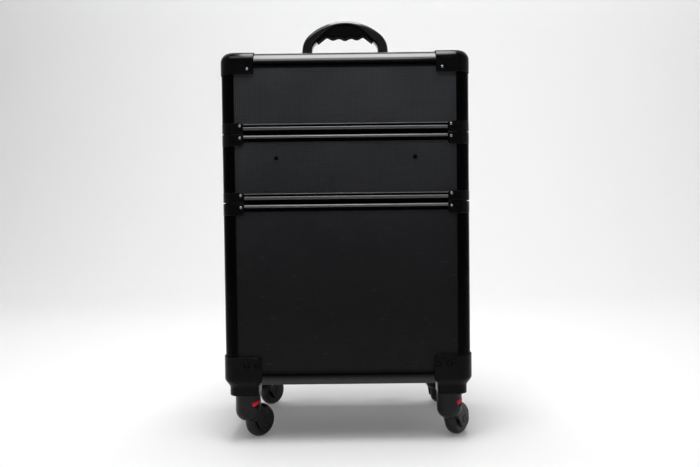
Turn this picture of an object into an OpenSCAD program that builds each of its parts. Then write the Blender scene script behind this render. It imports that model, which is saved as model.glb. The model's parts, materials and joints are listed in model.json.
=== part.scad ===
// Rolling equipment case in three lift-off tiers, framed in aluminium
// extrusions, on four plug-in swivel casters, with a telescopic handle.
// Millimetres, +Z up, the photographed face towards -Y, the floor at z = 0.

/* [Case] */
// Width over the corner posts
case_w = 360; // [300:5:460]
// Depth over the corner posts
case_d = 240; // [200:5:320]
// Floor to the underside of the lower frame
base_z = 88; // [84:1:110]
// Height of the lower tier
lower_h = 264; // [220:2:340]
// Height of the middle tier
middle_h = 100; // [90:1:140]
// Height of the top tier
top_h = 117; // [90:1:160]
// Outer radius of every quarter-round edge extrusion
corner_r = 20; // [18:0.5:24]

/* [Panels] */
// Thickness of the wall, lid and floor panels
panel_t = 4; // [3:0.25:5]
// How far the panels lie below the frame's outer face
panel_recess = 2; // [1.5:0.1:2.5]
// How far a panel reaches into an extrusion's slot
panel_grip = 3.3; // [2:0.1:3.8]
// Play round a panel in its slot
slot_clear = 0.1; // [0.05:0.01:0.2]

/* [Closing rims] */
// Half the height of the dark groove between two rims
groove_half = 2.8; // [2:0.1:3.5]
// Height of the bright outer band of a rim
band_h = 6.1; // [5:0.1:8]
// Height of the tongue over the seam
tongue_h = 4.4; // [3:0.1:5]
// Thickness of the tongue
tongue_t = 1.8; // [1.2:0.1:2.2]
// Play on each side of the tongue in its groove
tongue_clear = 0.4; // [0.3:0.05:0.6]
// Length of a corner casting's arms past the post
arm_len = 13; // [10:1:20]
// Height of the corner castings above a seam
casting_up = 15; // [14.5:0.5:18]
// Height of the corner castings below a seam
casting_down = 18; // [15:0.5:22]
// How far castings stand out from the rails
casting_proud = 0.4; // [0.2:0.1:0.8]
// Half of the bright slit between two castings
slit_half = 0.6; // [0.3:0.1:1]

/* [Corner caps and housings] */
// Length of a top corner cap's arms past the edge radius
cap_arm = 29; // [20:1:40]
// Length of a top corner cap down the post, past the edge radius
cap_drop = 12; // [8:1:20]
// Thickness of a top corner cap
cap_t = 1; // [0.8:0.1:1.6]
// Length of a caster housing's plate along each wall
housing_w = 57; // [50:1:70]
// Height of the housing above the underside of the frame
housing_up = 41; // [34:1:60]
// Depth of the housing below the underside of the frame
housing_down = 18; // [16:0.5:24]
// How far the housing stands out from the frame
housing_proud = 2; // [1:0.25:3]
// Inset of the caster pins from the frame's outer faces
stem_inset = 30; // [28:1:36]

/* [Casters] */
// Wheel diameter
wheel_d = 49; // [44:1:54]
// Wheel width
wheel_w = 19.5; // [17:0.5:24]
// Offset of the wheel's axle from the swivel axis
trail = 22; // [20:0.5:28]
// Diameter of the fork's neck
neck_d = 37.2; // [36:0.2:42]
// Diameter of the plug-in pin
pin_d = 12; // [10:0.5:13]
// Length of the pin inside its socket
pin_plug = 20; // [12:0.5:22]
// Diameter of the wheel's axle
axle_d = 6; // [5:0.5:8]
// Radial running clearance of pins and axles
run_clear = 0.05; // [0.02:0.01:0.09]
// Swivel angle of the front left caster
swivel_fl = 48; // [0:1:359]
// Swivel angle of the front right caster
swivel_fr = 52; // [0:1:359]
// Swivel angle of the rear left caster
swivel_rl = 55; // [0:1:359]
// Swivel angle of the rear right caster
swivel_rr = 72; // [0:1:359]

/* [Carry handle] */
// Outer width of the arch
arch_w = 136; // [120:1:160]
// Height of the arch above its straight legs
arch_rise = 46.6; // [40:0.5:55]
// Radius of the arch's shoulders
shoulder_r = 34; // [28:0.5:42]
// Thickness of the arch seen from the front
arch_t = 16; // [13:0.5:20]
// Thickness of the arch from front to back
arch_depth = 24; // [18:0.5:30]
// Straight length of the legs above the pivots
leg_len = 11.4; // [9:0.2:20]
// Gap between the legs' round ends and the bracket feet
leg_clear = 0.6; // [0.4:0.1:3]
// Diameter of the pivot pins
pivot_d = 6; // [4:0.5:8]
// Distance between the finger hollows of the grip
finger_pitch = 19.6; // [18:0.2:21]

/* [Tray] */
// Height of the lift-out tray
tray_h = 40; // [25:1:42]
// Wall of the tray
tray_wall = 2.2; // [1.6:0.1:3]
// Distance from the upper seam down to the ledge screws
screw_down = 36; // [34:1:44]
// Distance of the ledge screws from the middle
screw_x = 100; // [70:1:120]

/* [Turn latches] */
// Distance from the seam down to the latch axis
latch_down = 13; // [12:0.5:16]
// Outer radius of the keeper rib round the latch axis
keeper_r = 23; // [22:0.5:26]
// Width of the latch and keeper plates
latch_w = 34; // [30:1:44]

/* [Telescopic handle] */
// Distance between the two tubes
tube_pitch = 140; // [110:2:160]
// Diameter of the outer tubes
tube_d = 18; // [16:0.5:20]
// Wall of every tube
tube_wall = 0.9; // [0.7:0.05:1.2]
// Radial play between two tubes
tube_clear = 0.1; // [0.05:0.01:0.2]
// Top of the outer tubes above the lower frame's underside
tube_top = 322; // [280:2:340]
// Gap between the tubes and the back of the frame
tube_gap = 1; // [0.6:0.1:2]

/* [Hidden] */
EPS = 0.01;
$fn = 64;

// Heights of the seams and of the case
seam_low = base_z + lower_h;
seam_high = seam_low + middle_h;
case_top = seam_high + top_h;

// Half sizes of the frame, and of the rectangle through the edge centres
half_w = case_w / 2;
half_d = case_d / 2;
core_w = half_w - corner_r;
core_d = half_d - corner_r;

// Places across a wall, measured outwards from the edge extrusion's centre
panel_out = corner_r - panel_recess;
panel_in = panel_out - panel_t;
slot_out = panel_out + slot_clear;
slot_in = panel_in - slot_clear;
slot_depth = panel_grip + 0.2;
inner_leg_t = 1.8;
leg_in = slot_in - inner_leg_t;
ledge_in = leg_in - 2.1;
ledge_out = slot_in - 0.3;
tongue_out = panel_out - 0.6;
tongue_in = tongue_out - tongue_t;

// Heights of a rim, measured away from its seam
channel_v = 8;
inner_leg_v = 14;
band_v = groove_half + band_h;
lip_v = band_v + 1.9;
rim_v = lip_v + 2.4;
low_rim_v = band_v + 3.6;
chamber_r = 4.5;
chamber_at = 6.5;

// Lower frame
base_rail_h = 15;
base_channel = 6;
floor_flange = 4;
flange_t = 2.2;
floor_z = base_z + floor_flange + flange_t;
wall_low_z = base_z + base_channel + slot_clear;
post_low_z = base_z + 8;
base_rail_short = housing_w - corner_r - housing_proud - 1;

// Middle floor, ledges and tray
middle_floor_z = seam_low + channel_v;
screw_z = seam_high - screw_down;
ledge_t = 2;
ledge_w = 16;
ledge_up = 20;
ledge_len = 230;
tray_z = screw_z - 12;
tray_gap = 5;
tray_half_w = core_w - 10;
tray_half_d = core_d + ledge_in - tray_gap;
tray_lip = 3;
tray_corner_r = 12;

// Small fasteners
rivet_r = 2;
rivet_h = 1;
rivet_shank_r = 1.1;
rivet_depth = 1.4;
rivet_up = 10.8;
rivet_down = 6.6;
rivet_inset = 8;
screw_head_r = 3;
screw_head_h = 1.5;
screw_shank_r = 1.4;
fit = 0.05;

// Caster housings
housing_low_z = base_z - housing_down;
housing_high_z = base_z + housing_up;
taper_high_z = base_z + 7;
taper_low_z = base_z - 7;
socket_in = 10;
socket_out = 6;
housing_screws = [49, 33];
housing_screw_z = housing_high_z - 12.4;
recess_r = 3.7;
recess_depth = 1.8;

// Casters
wheel_r = wheel_d / 2;
neck_r = neck_d / 2;
pin_r = pin_d / 2;
neck_top_z = housing_low_z - 0.4;
pin_top_z = housing_low_z + pin_plug;
head_r = pin_r + 2;
head_t = 3;
cavity_r = wheel_r + 2.1;
cavity_w = wheel_w + 2;
head_low_z = wheel_r + sqrt(pow(cavity_r, 2) - pow(trail - head_r, 2)) + 4;
skirt_z = wheel_r + 11.5;
skirt_round = 9;
axle_r = axle_d / 2;
hub_cap_r = 6.7;
hub_cap_t = 0.8;
arm_half = cavity_w / 2 + 3.75;
boss_at = [trail - 0.5, wheel_r - 1];
boss_r = 12.5;
crest_at = [9.5, wheel_r + 21.5];
crest_r = 5.5;
heel_x = skirt_round - neck_r;
tyre_in_r = 15;
tyre_edge_r = wheel_r - 4.5;
crown_r = (pow(wheel_w / 2, 2) + pow(4.5, 2)) / 9;
button_z = housing_low_z - 13.6;
button_size = [13.4, 5.4];
button_tilt = -14;
button_proud = 0.8;
button_in = 6;
button_travel = 2.5;

// Carry handle
lid_z = case_top - panel_recess;
foot_t = 2.5;
foot_d = 32;
leg_r = arch_depth / 2;
pivot_up = foot_t + leg_r + leg_clear;
pivot_z = lid_z + pivot_up;
leg_top_z = pivot_z + leg_len;
arch_half = arch_w / 2;
shoulder_x = arch_half - shoulder_r;
crown_drop = (pow(arch_rise - shoulder_r, 2) - pow(shoulder_x, 2))
    / (2 * (shoulder_r - arch_rise));
crown_arc_r = arch_rise + crown_drop;
crown_angle = atan(shoulder_x / crown_drop);
eye_gap = 0.4;
ear_t = 4.2;
ear_r = 8;
grip_half = arch_half - 24;
grip_top = arch_rise - 6;
grip_end = 12.6;
grip_arc_r = (pow(grip_half, 2) + pow(grip_top - grip_end, 2)) / (2 * (grip_top - grip_end));
grip_depth = arch_depth - 3;
finger_up = 20.7;
finger_wave = 1.5;
finger_sag = 0.0021;
finger_end = 1.5 * finger_pitch;

// Turn latches
plate_t = 2;
plate_low = 24;
plate_high = 3.4;
keeper_high = 26;
rib_w = 3.5;
rib_half_angle = 30;
rib_h = 3.8;
rib_seat = 1;
hook_clear = 0.8;
hook_w = 3.7;
hook_r = keeper_r + hook_clear + hook_w;
hook_half_angle = 35;
hub_r = 8;
hub_gap = 0.4;
web_t = 2.1;
rotor_h = rib_h + hook_clear / 2 + web_t - hub_gap + 0.1;
wing_h = 5.6;
wing_len = 34;
wing_t = 5;
latch_pin_r = 2.5;
latch_pin_len = 2.4;

// Telescopic handle
tube_r = tube_d / 2;
tube_y = half_d + tube_gap + tube_r;
outer_low_z = base_z + 18;
outer_high_z = base_z + tube_top;
mid_r = tube_r - tube_wall - tube_clear;
inner_r = mid_r - tube_wall - tube_clear;
mid_low_z = outer_low_z + 4;
mid_high_z = outer_high_z + 2;
inner_low_z = mid_low_z + 4;
bracket_y = half_d - panel_recess;
bracket_back = tube_y + tube_r + 1;
bracket_low_z = base_z + 16;
bracket_low_h = 22;
bracket_high_z = seam_low - 36;
bracket_high_h = 20;
grip_low_z = mid_high_z + 0.4;
grip_high_z = grip_low_z + 25;
bar_h = 18;
bar_half_d = tube_r - 0.2;
grip_button = [26, 9];
grip_button_up = 1.6;
grip_button_deep = 6;
grip_button_travel = 3;

// The origin is under the middle of the whole object, handle included
front_reach = half_d + housing_proud;
back_reach = bracket_back;
origin_shift = (back_reach - front_reach) / 2;

// Colours
BLACK_METAL = [0.10, 0.10, 0.11];
GREY_METAL = [0.32, 0.32, 0.33];
GLOSS = [0.04, 0.04, 0.045];
PANEL = [0.20, 0.20, 0.21];
PLASTIC = [0.14, 0.14, 0.15];
STEEL = [0.75, 0.75, 0.76];
RED = [0.78, 0.10, 0.16];

// Placing helpers

// Moves the case so that the origin lies under the middle of the object
module placed() {
    translate([0, -origin_shift, 0]) children();
}

// Repeats a corner drawn round the edge centre, in the quarter +X +Y
module at_corners() {
    for (mx = [0, 1], my = [0, 1])
        mirror([mx, 0, 0]) mirror([0, my, 0]) translate([core_w, core_d, 0]) children();
}

// Sweeps a section, drawn outwards and up from the edge centre, along +X
module run_x(len) {
    rotate([90, 0, 90]) linear_extrude(len) children();
}

// Sweeps the same section along -Y
module run_y(len) {
    rotate([90, 0, 0]) linear_extrude(len) children();
}

// Four rails round the frame; short is what they stop short of the edge centres
module rail_ring(short) {
    for (m = [0, 1]) {
        mirror([0, m, 0]) translate([short - core_w, core_d, 0])
            run_x(2 * (core_w - short)) children();
        mirror([m, 0, 0]) translate([core_w, core_d - short, 0])
            run_y(2 * (core_d - short)) children();
    }
}

// Points -Z drawings outwards from the front or the side of the corner +X +Y
module facing_y() {
    rotate([-90, 0, 0]) children();
}

module facing_x() {
    rotate([0, 90, 0]) children();
}

module rounded_square(size, r) {
    translate([r, 0]) square([size[0] - 2 * r, size[1]]);
    translate([0, r]) square([size[0], size[1] - 2 * r]);
    for (x = [r, size[0] - r], y = [r, size[1] - r])
        translate([x, y]) circle(r = r);
}

// Extrusions and panels

// The two panel slots of an edge extrusion
module panel_slots() {
    translate([-1, slot_in]) square([slot_depth + 1, slot_out - slot_in]);
    translate([slot_in, -1]) square([slot_out - slot_in, slot_depth + 1]);
}

// Quarter-round edge extrusion with two panel slots and a screw chamber
module edge_section() {
    difference() {
        intersection() {
            circle(r = corner_r, $fn = 96);
            square(corner_r + 1);
        }
        panel_slots();
        translate([chamber_at, chamber_at]) circle(r = chamber_r);
    }
}

module posts(low, high) {
    at_corners() translate([0, 0, low]) linear_extrude(high - low) edge_section();
}

module wall_panels(low, high) {
    for (m = [0, 1]) {
        mirror([0, m, 0]) translate([-core_w - panel_grip, core_d + panel_in, low])
            cube([2 * (core_w + panel_grip), panel_t, high - low]);
        mirror([m, 0, 0]) translate([core_w + panel_in, -core_d - panel_grip, low])
            cube([panel_t, 2 * (core_d + panel_grip), high - low]);
    }
}

// A plate that reaches out by reach on each side and leaves the posts free
module cross_plate(reach, t, round_r = 0) {
    linear_extrude(t) {
        translate([-core_w - reach, -core_d + fit]) square([2 * (core_w + reach), 2 * (core_d - fit)]);
        translate([-core_w + fit, -core_d - reach]) square([2 * (core_w - fit), 2 * (core_d + reach)]);
        if (round_r > 0)
            for (x = [-core_w, core_w], y = [-core_d, core_d])
                translate([x, y]) circle(r = round_r);
    }
}

// Rim under a seam: it carries the tongue
module low_rim_section() {
    polygon([[slot_out, -low_rim_v], [corner_r - 0.8, -low_rim_v], [corner_r - 0.8, -band_v],
        [corner_r, -band_v], [corner_r, -groove_half], [tongue_out, -groove_half],
        [tongue_out, tongue_h], [tongue_in, tongue_h], [tongue_in, -groove_half],
        [ledge_out, -groove_half], [ledge_out, 0], [ledge_in, 0], [ledge_in, -channel_v],
        [leg_in, -channel_v], [leg_in, -inner_leg_v], [slot_in, -inner_leg_v],
        [slot_in, -channel_v], [slot_out, -channel_v]]);
}

// Rim over a seam: it has the groove for the tongue
module high_rim_section() {
    polygon([[corner_r, groove_half], [corner_r, band_v], [corner_r - 1.1, band_v],
        [corner_r - 1.1, lip_v], [corner_r - 0.4, lip_v], [corner_r - 0.4, rim_v],
        [slot_out, rim_v], [slot_out, channel_v], [slot_in, channel_v],
        [slot_in, inner_leg_v], [leg_in, inner_leg_v], [leg_in, channel_v],
        [ledge_in, channel_v], [ledge_in, 0], [ledge_out, 0], [ledge_out, groove_half],
        [tongue_in - tongue_clear, groove_half],
        [tongue_in - tongue_clear, tongue_h + tongue_clear],
        [tongue_out + tongue_clear, tongue_h + tongue_clear],
        [tongue_out + tongue_clear, groove_half]]);
}

// The castings' sections follow the rims, without their outer flange
module low_casting_section() {
    polygon([[slot_out, -slit_half], [tongue_out, -slit_half], [tongue_out, tongue_h],
        [tongue_in, tongue_h], [tongue_in, -groove_half], [ledge_out, -groove_half],
        [ledge_out, 0], [ledge_in, 0], [ledge_in, -channel_v], [leg_in, -channel_v],
        [leg_in, -inner_leg_v], [slot_in, -inner_leg_v], [slot_in, -channel_v],
        [slot_out, -channel_v]]);
}

module high_casting_section() {
    polygon([[slot_out, slit_half], [slot_out, channel_v], [slot_in, channel_v],
        [slot_in, inner_leg_v], [leg_in, inner_leg_v], [leg_in, channel_v],
        [ledge_in, channel_v], [ledge_in, 0], [ledge_out, 0], [ledge_out, groove_half],
        [tongue_in - tongue_clear, groove_half],
        [tongue_in - tongue_clear, tongue_h + tongue_clear],
        [tongue_out + tongue_clear, tongue_h + tongue_clear],
        [tongue_out + tongue_clear, slit_half]]);
}

// Outer flange of a casting's arm, with one rounded free corner
module casting_cheek(h) {
    r = 5;
    translate([-arm_len, 0]) {
        square([arm_len, h - r]);
        translate([r, 0]) square([arm_len - r, h]);
        translate([r, h - r]) circle(r = r);
    }
}

// One corner casting; up is 1 over a seam and -1 under it
module rim_casting(up) {
    flange_t = corner_r + casting_proud - slot_out;
    h = (up > 0 ? casting_up : casting_down) - slit_half;
    difference() {
        union() {
            rotate_extrude(angle = 90) casting_section(up);
            translate([-arm_len, 0, 0]) run_x(arm_len) casting_section(up);
            run_y(arm_len) casting_section(up);
            translate([0, 0, up > 0 ? slit_half : -slit_half - h])
                rotate_extrude(angle = 90) translate([slot_out - EPS, 0]) square([flange_t + EPS, h]);
            translate([0, slot_out - EPS, 0]) mirror([0, 0, up > 0 ? 0 : 1])
                translate([0, flange_t + EPS, slit_half]) rotate([90, 0, 0])
                    linear_extrude(flange_t + EPS) casting_cheek(h);
            translate([slot_out - EPS, 0, 0]) mirror([0, 0, up > 0 ? 0 : 1])
                translate([0, 0, slit_half]) rotate([90, 0, 90])
                    linear_extrude(flange_t + EPS) casting_cheek(h);
        }
        translate([0, 0, up > 0 ? channel_v : -channel_v - casting_down])
            linear_extrude(casting_down) panel_slots();
        rim_rivet_places(up) translate([0, 0, -rivet_depth - fit])
            cylinder(r = rivet_shank_r + fit, h = 2 * rivet_depth);
    }
}

module casting_section(up) {
    if (up > 0) high_casting_section();
    else low_casting_section();
}

// Puts its children on both arms of a casting, +Z outwards
module rim_rivet_places(up) {
    v = up > 0 ? rivet_up : -rivet_down;
    translate([-rivet_inset, corner_r + casting_proud, v]) facing_y() children();
    translate([corner_r + casting_proud, -rivet_inset, v]) facing_x() children();
}

module rim_castings(seam, up) {
    translate([0, 0, seam]) at_corners() rim_casting(up);
}

// Fasteners

// Domed rivet on z = 0 with its shank below
module rivet() {
    ball_r = (pow(rivet_r, 2) + pow(rivet_h, 2)) / (2 * rivet_h);
    intersection() {
        translate([0, 0, rivet_h - ball_r]) sphere(r = ball_r, $fn = 32);
        cylinder(r = rivet_r + 1, h = rivet_h + 1);
    }
    translate([0, 0, -rivet_depth]) cylinder(r = rivet_shank_r, h = rivet_depth + EPS, $fn = 24);
}

module rim_rivets(seam, up) {
    translate([0, 0, seam]) at_corners() rim_rivet_places(up) rivet();
}

// Cross-recess screw with its head on z = 0
module screw(len) {
    difference() {
        cylinder(r = screw_head_r, h = screw_head_h, $fn = 32);
        for (a = [0, 90]) rotate([0, 0, a])
            translate([-2, -0.4, screw_head_h - 0.8]) cube([4, 0.8, 1]);
    }
    translate([0, 0, -len]) cylinder(r = screw_shank_r, h = len + EPS, $fn = 24);
}

// Lower tier

module lower_wall_panels() {
    placed() color(PANEL) wall_panels(wall_low_z, seam_low - channel_v - slot_clear);
}

module lower_floor() {
    placed() color(PANEL) translate([0, 0, floor_z]) cross_plate(leg_in - fit, panel_t);
}

module lower_posts() {
    placed() color(BLACK_METAL) posts(post_low_z, seam_low - casting_down);
}

module base_section() {
    polygon([[corner_r, 0], [corner_r, base_rail_h], [slot_out, base_rail_h],
        [slot_out, base_channel], [slot_in, base_channel], [slot_in, base_rail_h],
        [leg_in, base_rail_h], [leg_in, floor_flange + flange_t],
        [floor_flange, floor_flange + flange_t], [floor_flange, floor_flange],
        [leg_in, floor_flange], [slot_in, 0]]);
}

module lower_base_rails() {
    placed() color(BLACK_METAL) translate([0, 0, base_z]) rail_ring(base_rail_short) base_section();
}

module lower_rim() {
    placed() color(GREY_METAL) translate([0, 0, seam_low]) rail_ring(arm_len) low_rim_section();
}

module lower_rim_castings() {
    placed() color(GLOSS) rim_castings(seam_low, -1);
}

// Plan of a housing between two insets from its own outer and inner ends
module housing_plan(out_in, in_in) {
    far = corner_r + housing_proud - out_in;
    near = corner_r + housing_proud - housing_w + in_in;
    r = corner_r + housing_proud - out_in;
    intersection() {
        translate([near, near]) square(far - near);
        union() {
            circle(r = r);
            translate([near - 1, near - 1]) square([far - near + 1, 1 - near]);
            translate([near - 1, near - 1]) square([1 - near, far - near + 1]);
        }
    }
}

// Rounds the free upper corner of the housing's plate on one wall
module plate_window() {
    low = housing_low_z - 1;
    near = corner_r + housing_proud - housing_w;
    r = 8;
    translate([near, low]) square([housing_w + 1, housing_high_z - r - low]);
    translate([near + r, low]) square([housing_w - r + 1, housing_high_z - low]);
    translate([near + r, housing_high_z - r]) circle(r = r);
}

module housing_screw_places() {
    for (d = housing_screws) {
        translate([corner_r - d, corner_r + housing_proud, housing_screw_z]) facing_y() children();
        translate([corner_r + housing_proud, corner_r - d, housing_screw_z]) facing_x() children();
    }
}

module caster_housing() {
    reach = 2 * housing_w;
    difference() {
        union() {
            intersection() {
                translate([0, 0, taper_high_z]) linear_extrude(housing_high_z - taper_high_z)
                    housing_plan(0, 0);
                translate([0, reach, 0]) rotate([90, 0, 0]) linear_extrude(2 * reach) plate_window();
                translate([-reach, 0, 0]) rotate([90, 0, 90]) linear_extrude(2 * reach) plate_window();
            }
            hull() {
                translate([0, 0, taper_high_z - EPS]) linear_extrude(2 * EPS)
                    housing_plan(0, 0, $fn = 48);
                translate([0, 0, taper_low_z]) linear_extrude(EPS)
                    housing_plan(socket_in, socket_out, $fn = 48);
            }
            translate([0, 0, housing_low_z]) linear_extrude(taper_low_z - housing_low_z + EPS)
                housing_plan(socket_in, socket_out, $fn = 48);
        }
        // The post, what lies inside the walls, and the ends of the base rails
        translate([0, 0, post_low_z]) cylinder(r = corner_r + fit, h = reach);
        translate([-reach, -reach, wall_low_z - fit])
            cube([reach + panel_grip + fit, reach + panel_out + fit, reach]);
        translate([-reach, -reach, wall_low_z - fit])
            cube([reach + panel_out + fit, reach + panel_grip + fit, reach]);
        translate([-reach, -reach, base_z - fit])
            cube([reach - base_rail_short + fit, reach + corner_r + fit, base_rail_h + 2 * fit]);
        translate([-reach, -reach, base_z - fit])
            cube([reach + corner_r + fit, reach - base_rail_short + fit, base_rail_h + 2 * fit]);
        // Pin socket and screw recesses
        translate([corner_r - stem_inset, corner_r - stem_inset, housing_low_z - 1])
            cylinder(r = pin_r + run_clear, h = pin_plug + 1.5);
        housing_screw_places() {
            translate([0, 0, -recess_depth]) cylinder(r = recess_r, h = recess_depth + 1);
            translate([0, 0, -panel_recess - housing_proud - 1])
                cylinder(r = screw_shank_r + fit, h = housing_w / 4);
        }
    }
}

module caster_housings() {
    placed() color(PLASTIC) at_corners() caster_housing();
}

module lower_fasteners() {
    placed() color(STEEL) {
        rim_rivets(seam_low, -1);
        at_corners() housing_screw_places() translate([0, 0, -recess_depth])
            screw(panel_recess + housing_proud - recess_depth - fit);
    }
}

// Middle tier

module middle_wall_panels() {
    placed() color(PANEL) difference() {
        wall_panels(seam_low + channel_v + slot_clear, seam_high - channel_v - slot_clear);
        tray_screw_places() translate([0, 0, -panel_t - 1])
            cylinder(r = screw_shank_r + fit, h = panel_t + 2, $fn = 24);
    }
}

module middle_floor() {
    placed() color(PANEL) translate([0, 0, middle_floor_z])
        cross_plate(leg_in - fit, panel_t, leg_in - fit);
}

module middle_posts() {
    placed() color(BLACK_METAL) posts(seam_low + casting_up, seam_high - casting_down);
}

module middle_bottom_rim() {
    placed() color(GREY_METAL) translate([0, 0, seam_low]) rail_ring(arm_len) high_rim_section();
}

module middle_top_rim() {
    placed() color(GREY_METAL) translate([0, 0, seam_high]) rail_ring(arm_len) low_rim_section();
}

module middle_rim_castings() {
    placed() color(GLOSS) {
        rim_castings(seam_low, 1);
        rim_castings(seam_high, -1);
    }
}

// Puts its children on the front and back panels' outer faces, +Z outwards
module tray_screw_places() {
    for (x = [-screw_x, screw_x], m = [0, 1])
        mirror([0, m, 0]) translate([x, core_d + panel_out, screw_z]) facing_y() children();
}

module middle_fasteners() {
    placed() color(STEEL) {
        rim_rivets(seam_low, 1);
        rim_rivets(seam_high, -1);
        tray_screw_places() screw(panel_t + ledge_t);
    }
}

// Two angle ledges that carry the tray
module tray_ledges() {
    placed() color(BLACK_METAL) difference() {
        for (m = [0, 1]) mirror([0, m, 0]) translate([-ledge_len / 2, core_d + panel_in, tray_z]) {
            translate([0, -ledge_t, -ledge_t]) cube([ledge_len, ledge_t, ledge_up]);
            translate([0, -ledge_w, -ledge_t]) cube([ledge_len, ledge_w, ledge_t]);
        }
        tray_screw_places() translate([0, 0, -panel_t - ledge_t - 1])
            cylinder(r = screw_shank_r + fit, h = ledge_t + 2, $fn = 24);
    }
}

module tray_plan(inset) {
    w = tray_half_w - inset;
    d = tray_half_d - inset;
    translate([-w, -d]) rounded_square([2 * w, 2 * d], tray_corner_r - inset);
}

module tray() {
    placed() color(GLOSS) translate([0, 0, tray_z]) {
        difference() {
            union() {
                linear_extrude(tray_h) tray_plan(tray_lip);
                translate([0, 0, tray_h - 2]) linear_extrude(2) tray_plan(0);
            }
            translate([0, 0, tray_wall]) linear_extrude(tray_h) tray_plan(tray_lip + tray_wall);
        }
        for (x = [-tray_half_w / 3, tray_half_w / 3])
            translate([x - tray_wall / 2, -tray_half_d + tray_lip + EPS, EPS])
                cube([tray_wall, 2 * (tray_half_d - tray_lip - EPS), tray_h - 4]);
        translate([-tray_half_w / 3, -tray_wall / 2, EPS])
            cube([2 * tray_half_w / 3, tray_wall, tray_h - 4]);
    }
}

// Top tier

module top_wall_panels() {
    placed() color(PANEL) wall_panels(seam_high + channel_v + slot_clear,
        case_top - corner_r + panel_grip);
}

module lid_panel() {
    placed() color(PANEL)
        translate([-core_w - panel_grip, -core_d - panel_grip, lid_z - panel_t])
            cube([2 * (core_w + panel_grip), 2 * (core_d + panel_grip), panel_t]);
}

module top_posts() {
    placed() color(BLACK_METAL) posts(seam_high + casting_up, case_top - corner_r);
}

module top_edge_rails() {
    placed() color(BLACK_METAL) translate([0, 0, case_top - corner_r]) rail_ring(0) edge_section();
}

module top_rim() {
    placed() color(GREY_METAL) translate([0, 0, seam_high]) rail_ring(arm_len) high_rim_section();
}

module top_rim_castings() {
    placed() color(GLOSS) rim_castings(seam_high, 1);
}

// Rounded corner of the case at radius r, without the ball
module edge_lump(r) {
    translate([-cap_arm, 0, 0]) rotate([0, 90, 0]) cylinder(r = r, h = cap_arm);
    rotate([90, 0, 0]) cylinder(r = r, h = cap_arm);
    translate([0, 0, -cap_drop]) cylinder(r = r, h = cap_drop);
    translate([-cap_arm, -cap_arm, -cap_drop]) {
        cube([cap_arm, cap_arm + r, cap_drop]);
        cube([cap_arm + r, cap_arm, cap_drop]);
        cube([cap_arm, cap_arm, cap_drop + r]);
    }
}

module corner_cap() {
    difference() {
        intersection() {
            union() {
                edge_lump(corner_r + cap_t);
                sphere(r = corner_r + cap_t, $fn = 96);
            }
            translate([-cap_arm, -cap_arm, -cap_drop])
                cube(cap_arm + corner_r + cap_t);
        }
        intersection() {
            edge_lump(corner_r + fit);
            union() {
                translate([-2 * cap_arm, -2 * cap_arm, -2 * cap_arm]) cube([2 * cap_arm, 4 * cap_arm, 4 * cap_arm]);
                translate([-2 * cap_arm, -2 * cap_arm, -2 * cap_arm]) cube([4 * cap_arm, 2 * cap_arm, 4 * cap_arm]);
                translate([-2 * cap_arm, -2 * cap_arm, -2 * cap_arm]) cube([4 * cap_arm, 4 * cap_arm, 2 * cap_arm]);
            }
        }
        // Room for the ends of the wall and lid panels
        translate([-1, slot_in, -1]) cube([slot_depth + 1, slot_out - slot_in, slot_depth + 1]);
        translate([slot_in, -1, -1]) cube([slot_out - slot_in, slot_depth + 1, slot_depth + 1]);
        translate([-1, -1, slot_in]) cube([slot_depth + 1, slot_depth + 1, slot_out - slot_in]);
        cap_rivet_places() translate([0, 0, -cap_t - 1]) cylinder(r = rivet_shank_r + fit, h = cap_t + 2);
    }
}

module cap_rivet_places() {
    z = -cap_drop / 2 + 1;
    translate([-corner_r, corner_r + cap_t, z]) facing_y() children();
    translate([corner_r + cap_t, -corner_r, z]) facing_x() children();
}

module at_top_corners() {
    at_corners() translate([0, 0, case_top - corner_r]) children();
}

module top_corner_caps() {
    placed() color(GLOSS) at_top_corners() corner_cap();
}

module top_fasteners() {
    placed() color(STEEL) {
        rim_rivets(seam_high, 1);
        at_top_corners() cap_rivet_places() rivet();
    }
}

// Carry handle

// Repeats the leg side at +X on both sides
module both_legs() {
    for (m = [0, 1]) mirror([m, 0, 0]) children();
}

module handle_brackets() {
    x_in = arch_half - arch_t - eye_gap - ear_t;
    x_out = arch_half + eye_gap;
    placed() color(BLACK_METAL) both_legs() {
        translate([x_in - 3, -foot_d / 2, lid_z]) linear_extrude(foot_t)
            rounded_square([arch_t + 2 * (eye_gap + ear_t) + 6, foot_d], 4);
        for (x = [x_in, x_out]) translate([x, 0, lid_z + foot_t - EPS]) {
            translate([0, -ear_r, 0]) cube([ear_t, 2 * ear_r, pivot_up - foot_t]);
            translate([0, 0, pivot_up - foot_t]) rotate([0, 90, 0]) cylinder(r = ear_r, h = ear_t);
        }
        translate([x_in, 0, pivot_z]) rotate([0, 90, 0])
            cylinder(r = pivot_d / 2, h = arch_t + 2 * (eye_gap + ear_t));
    }
}

// The arch's section, with each corner eased in three flats
module arch_section() {
    ease = 5;
    a = arch_t / 2 - ease;
    b = arch_depth / 2 - ease;
    translate([-arch_t / 2, 0]) polygon([for (q = [0:3], i = [0:30:90])
        let (sx = (q == 0 || q == 3) ? 1 : -1, sy = q < 2 ? 1 : -1)
        [sx * a + ease * cos(90 * q + i), sy * b + ease * sin(90 * q + i)]]);
}

// Pocket and grip share this outline, drawn in X and Z from the legs' top
module grip_plan(gap) {
    intersection() {
        translate([0, grip_top - grip_arc_r]) circle(r = grip_arc_r + gap, $fn = 128);
        translate([-arch_half, grip_end - 1]) square([arch_w, grip_top]);
    }
}

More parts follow.
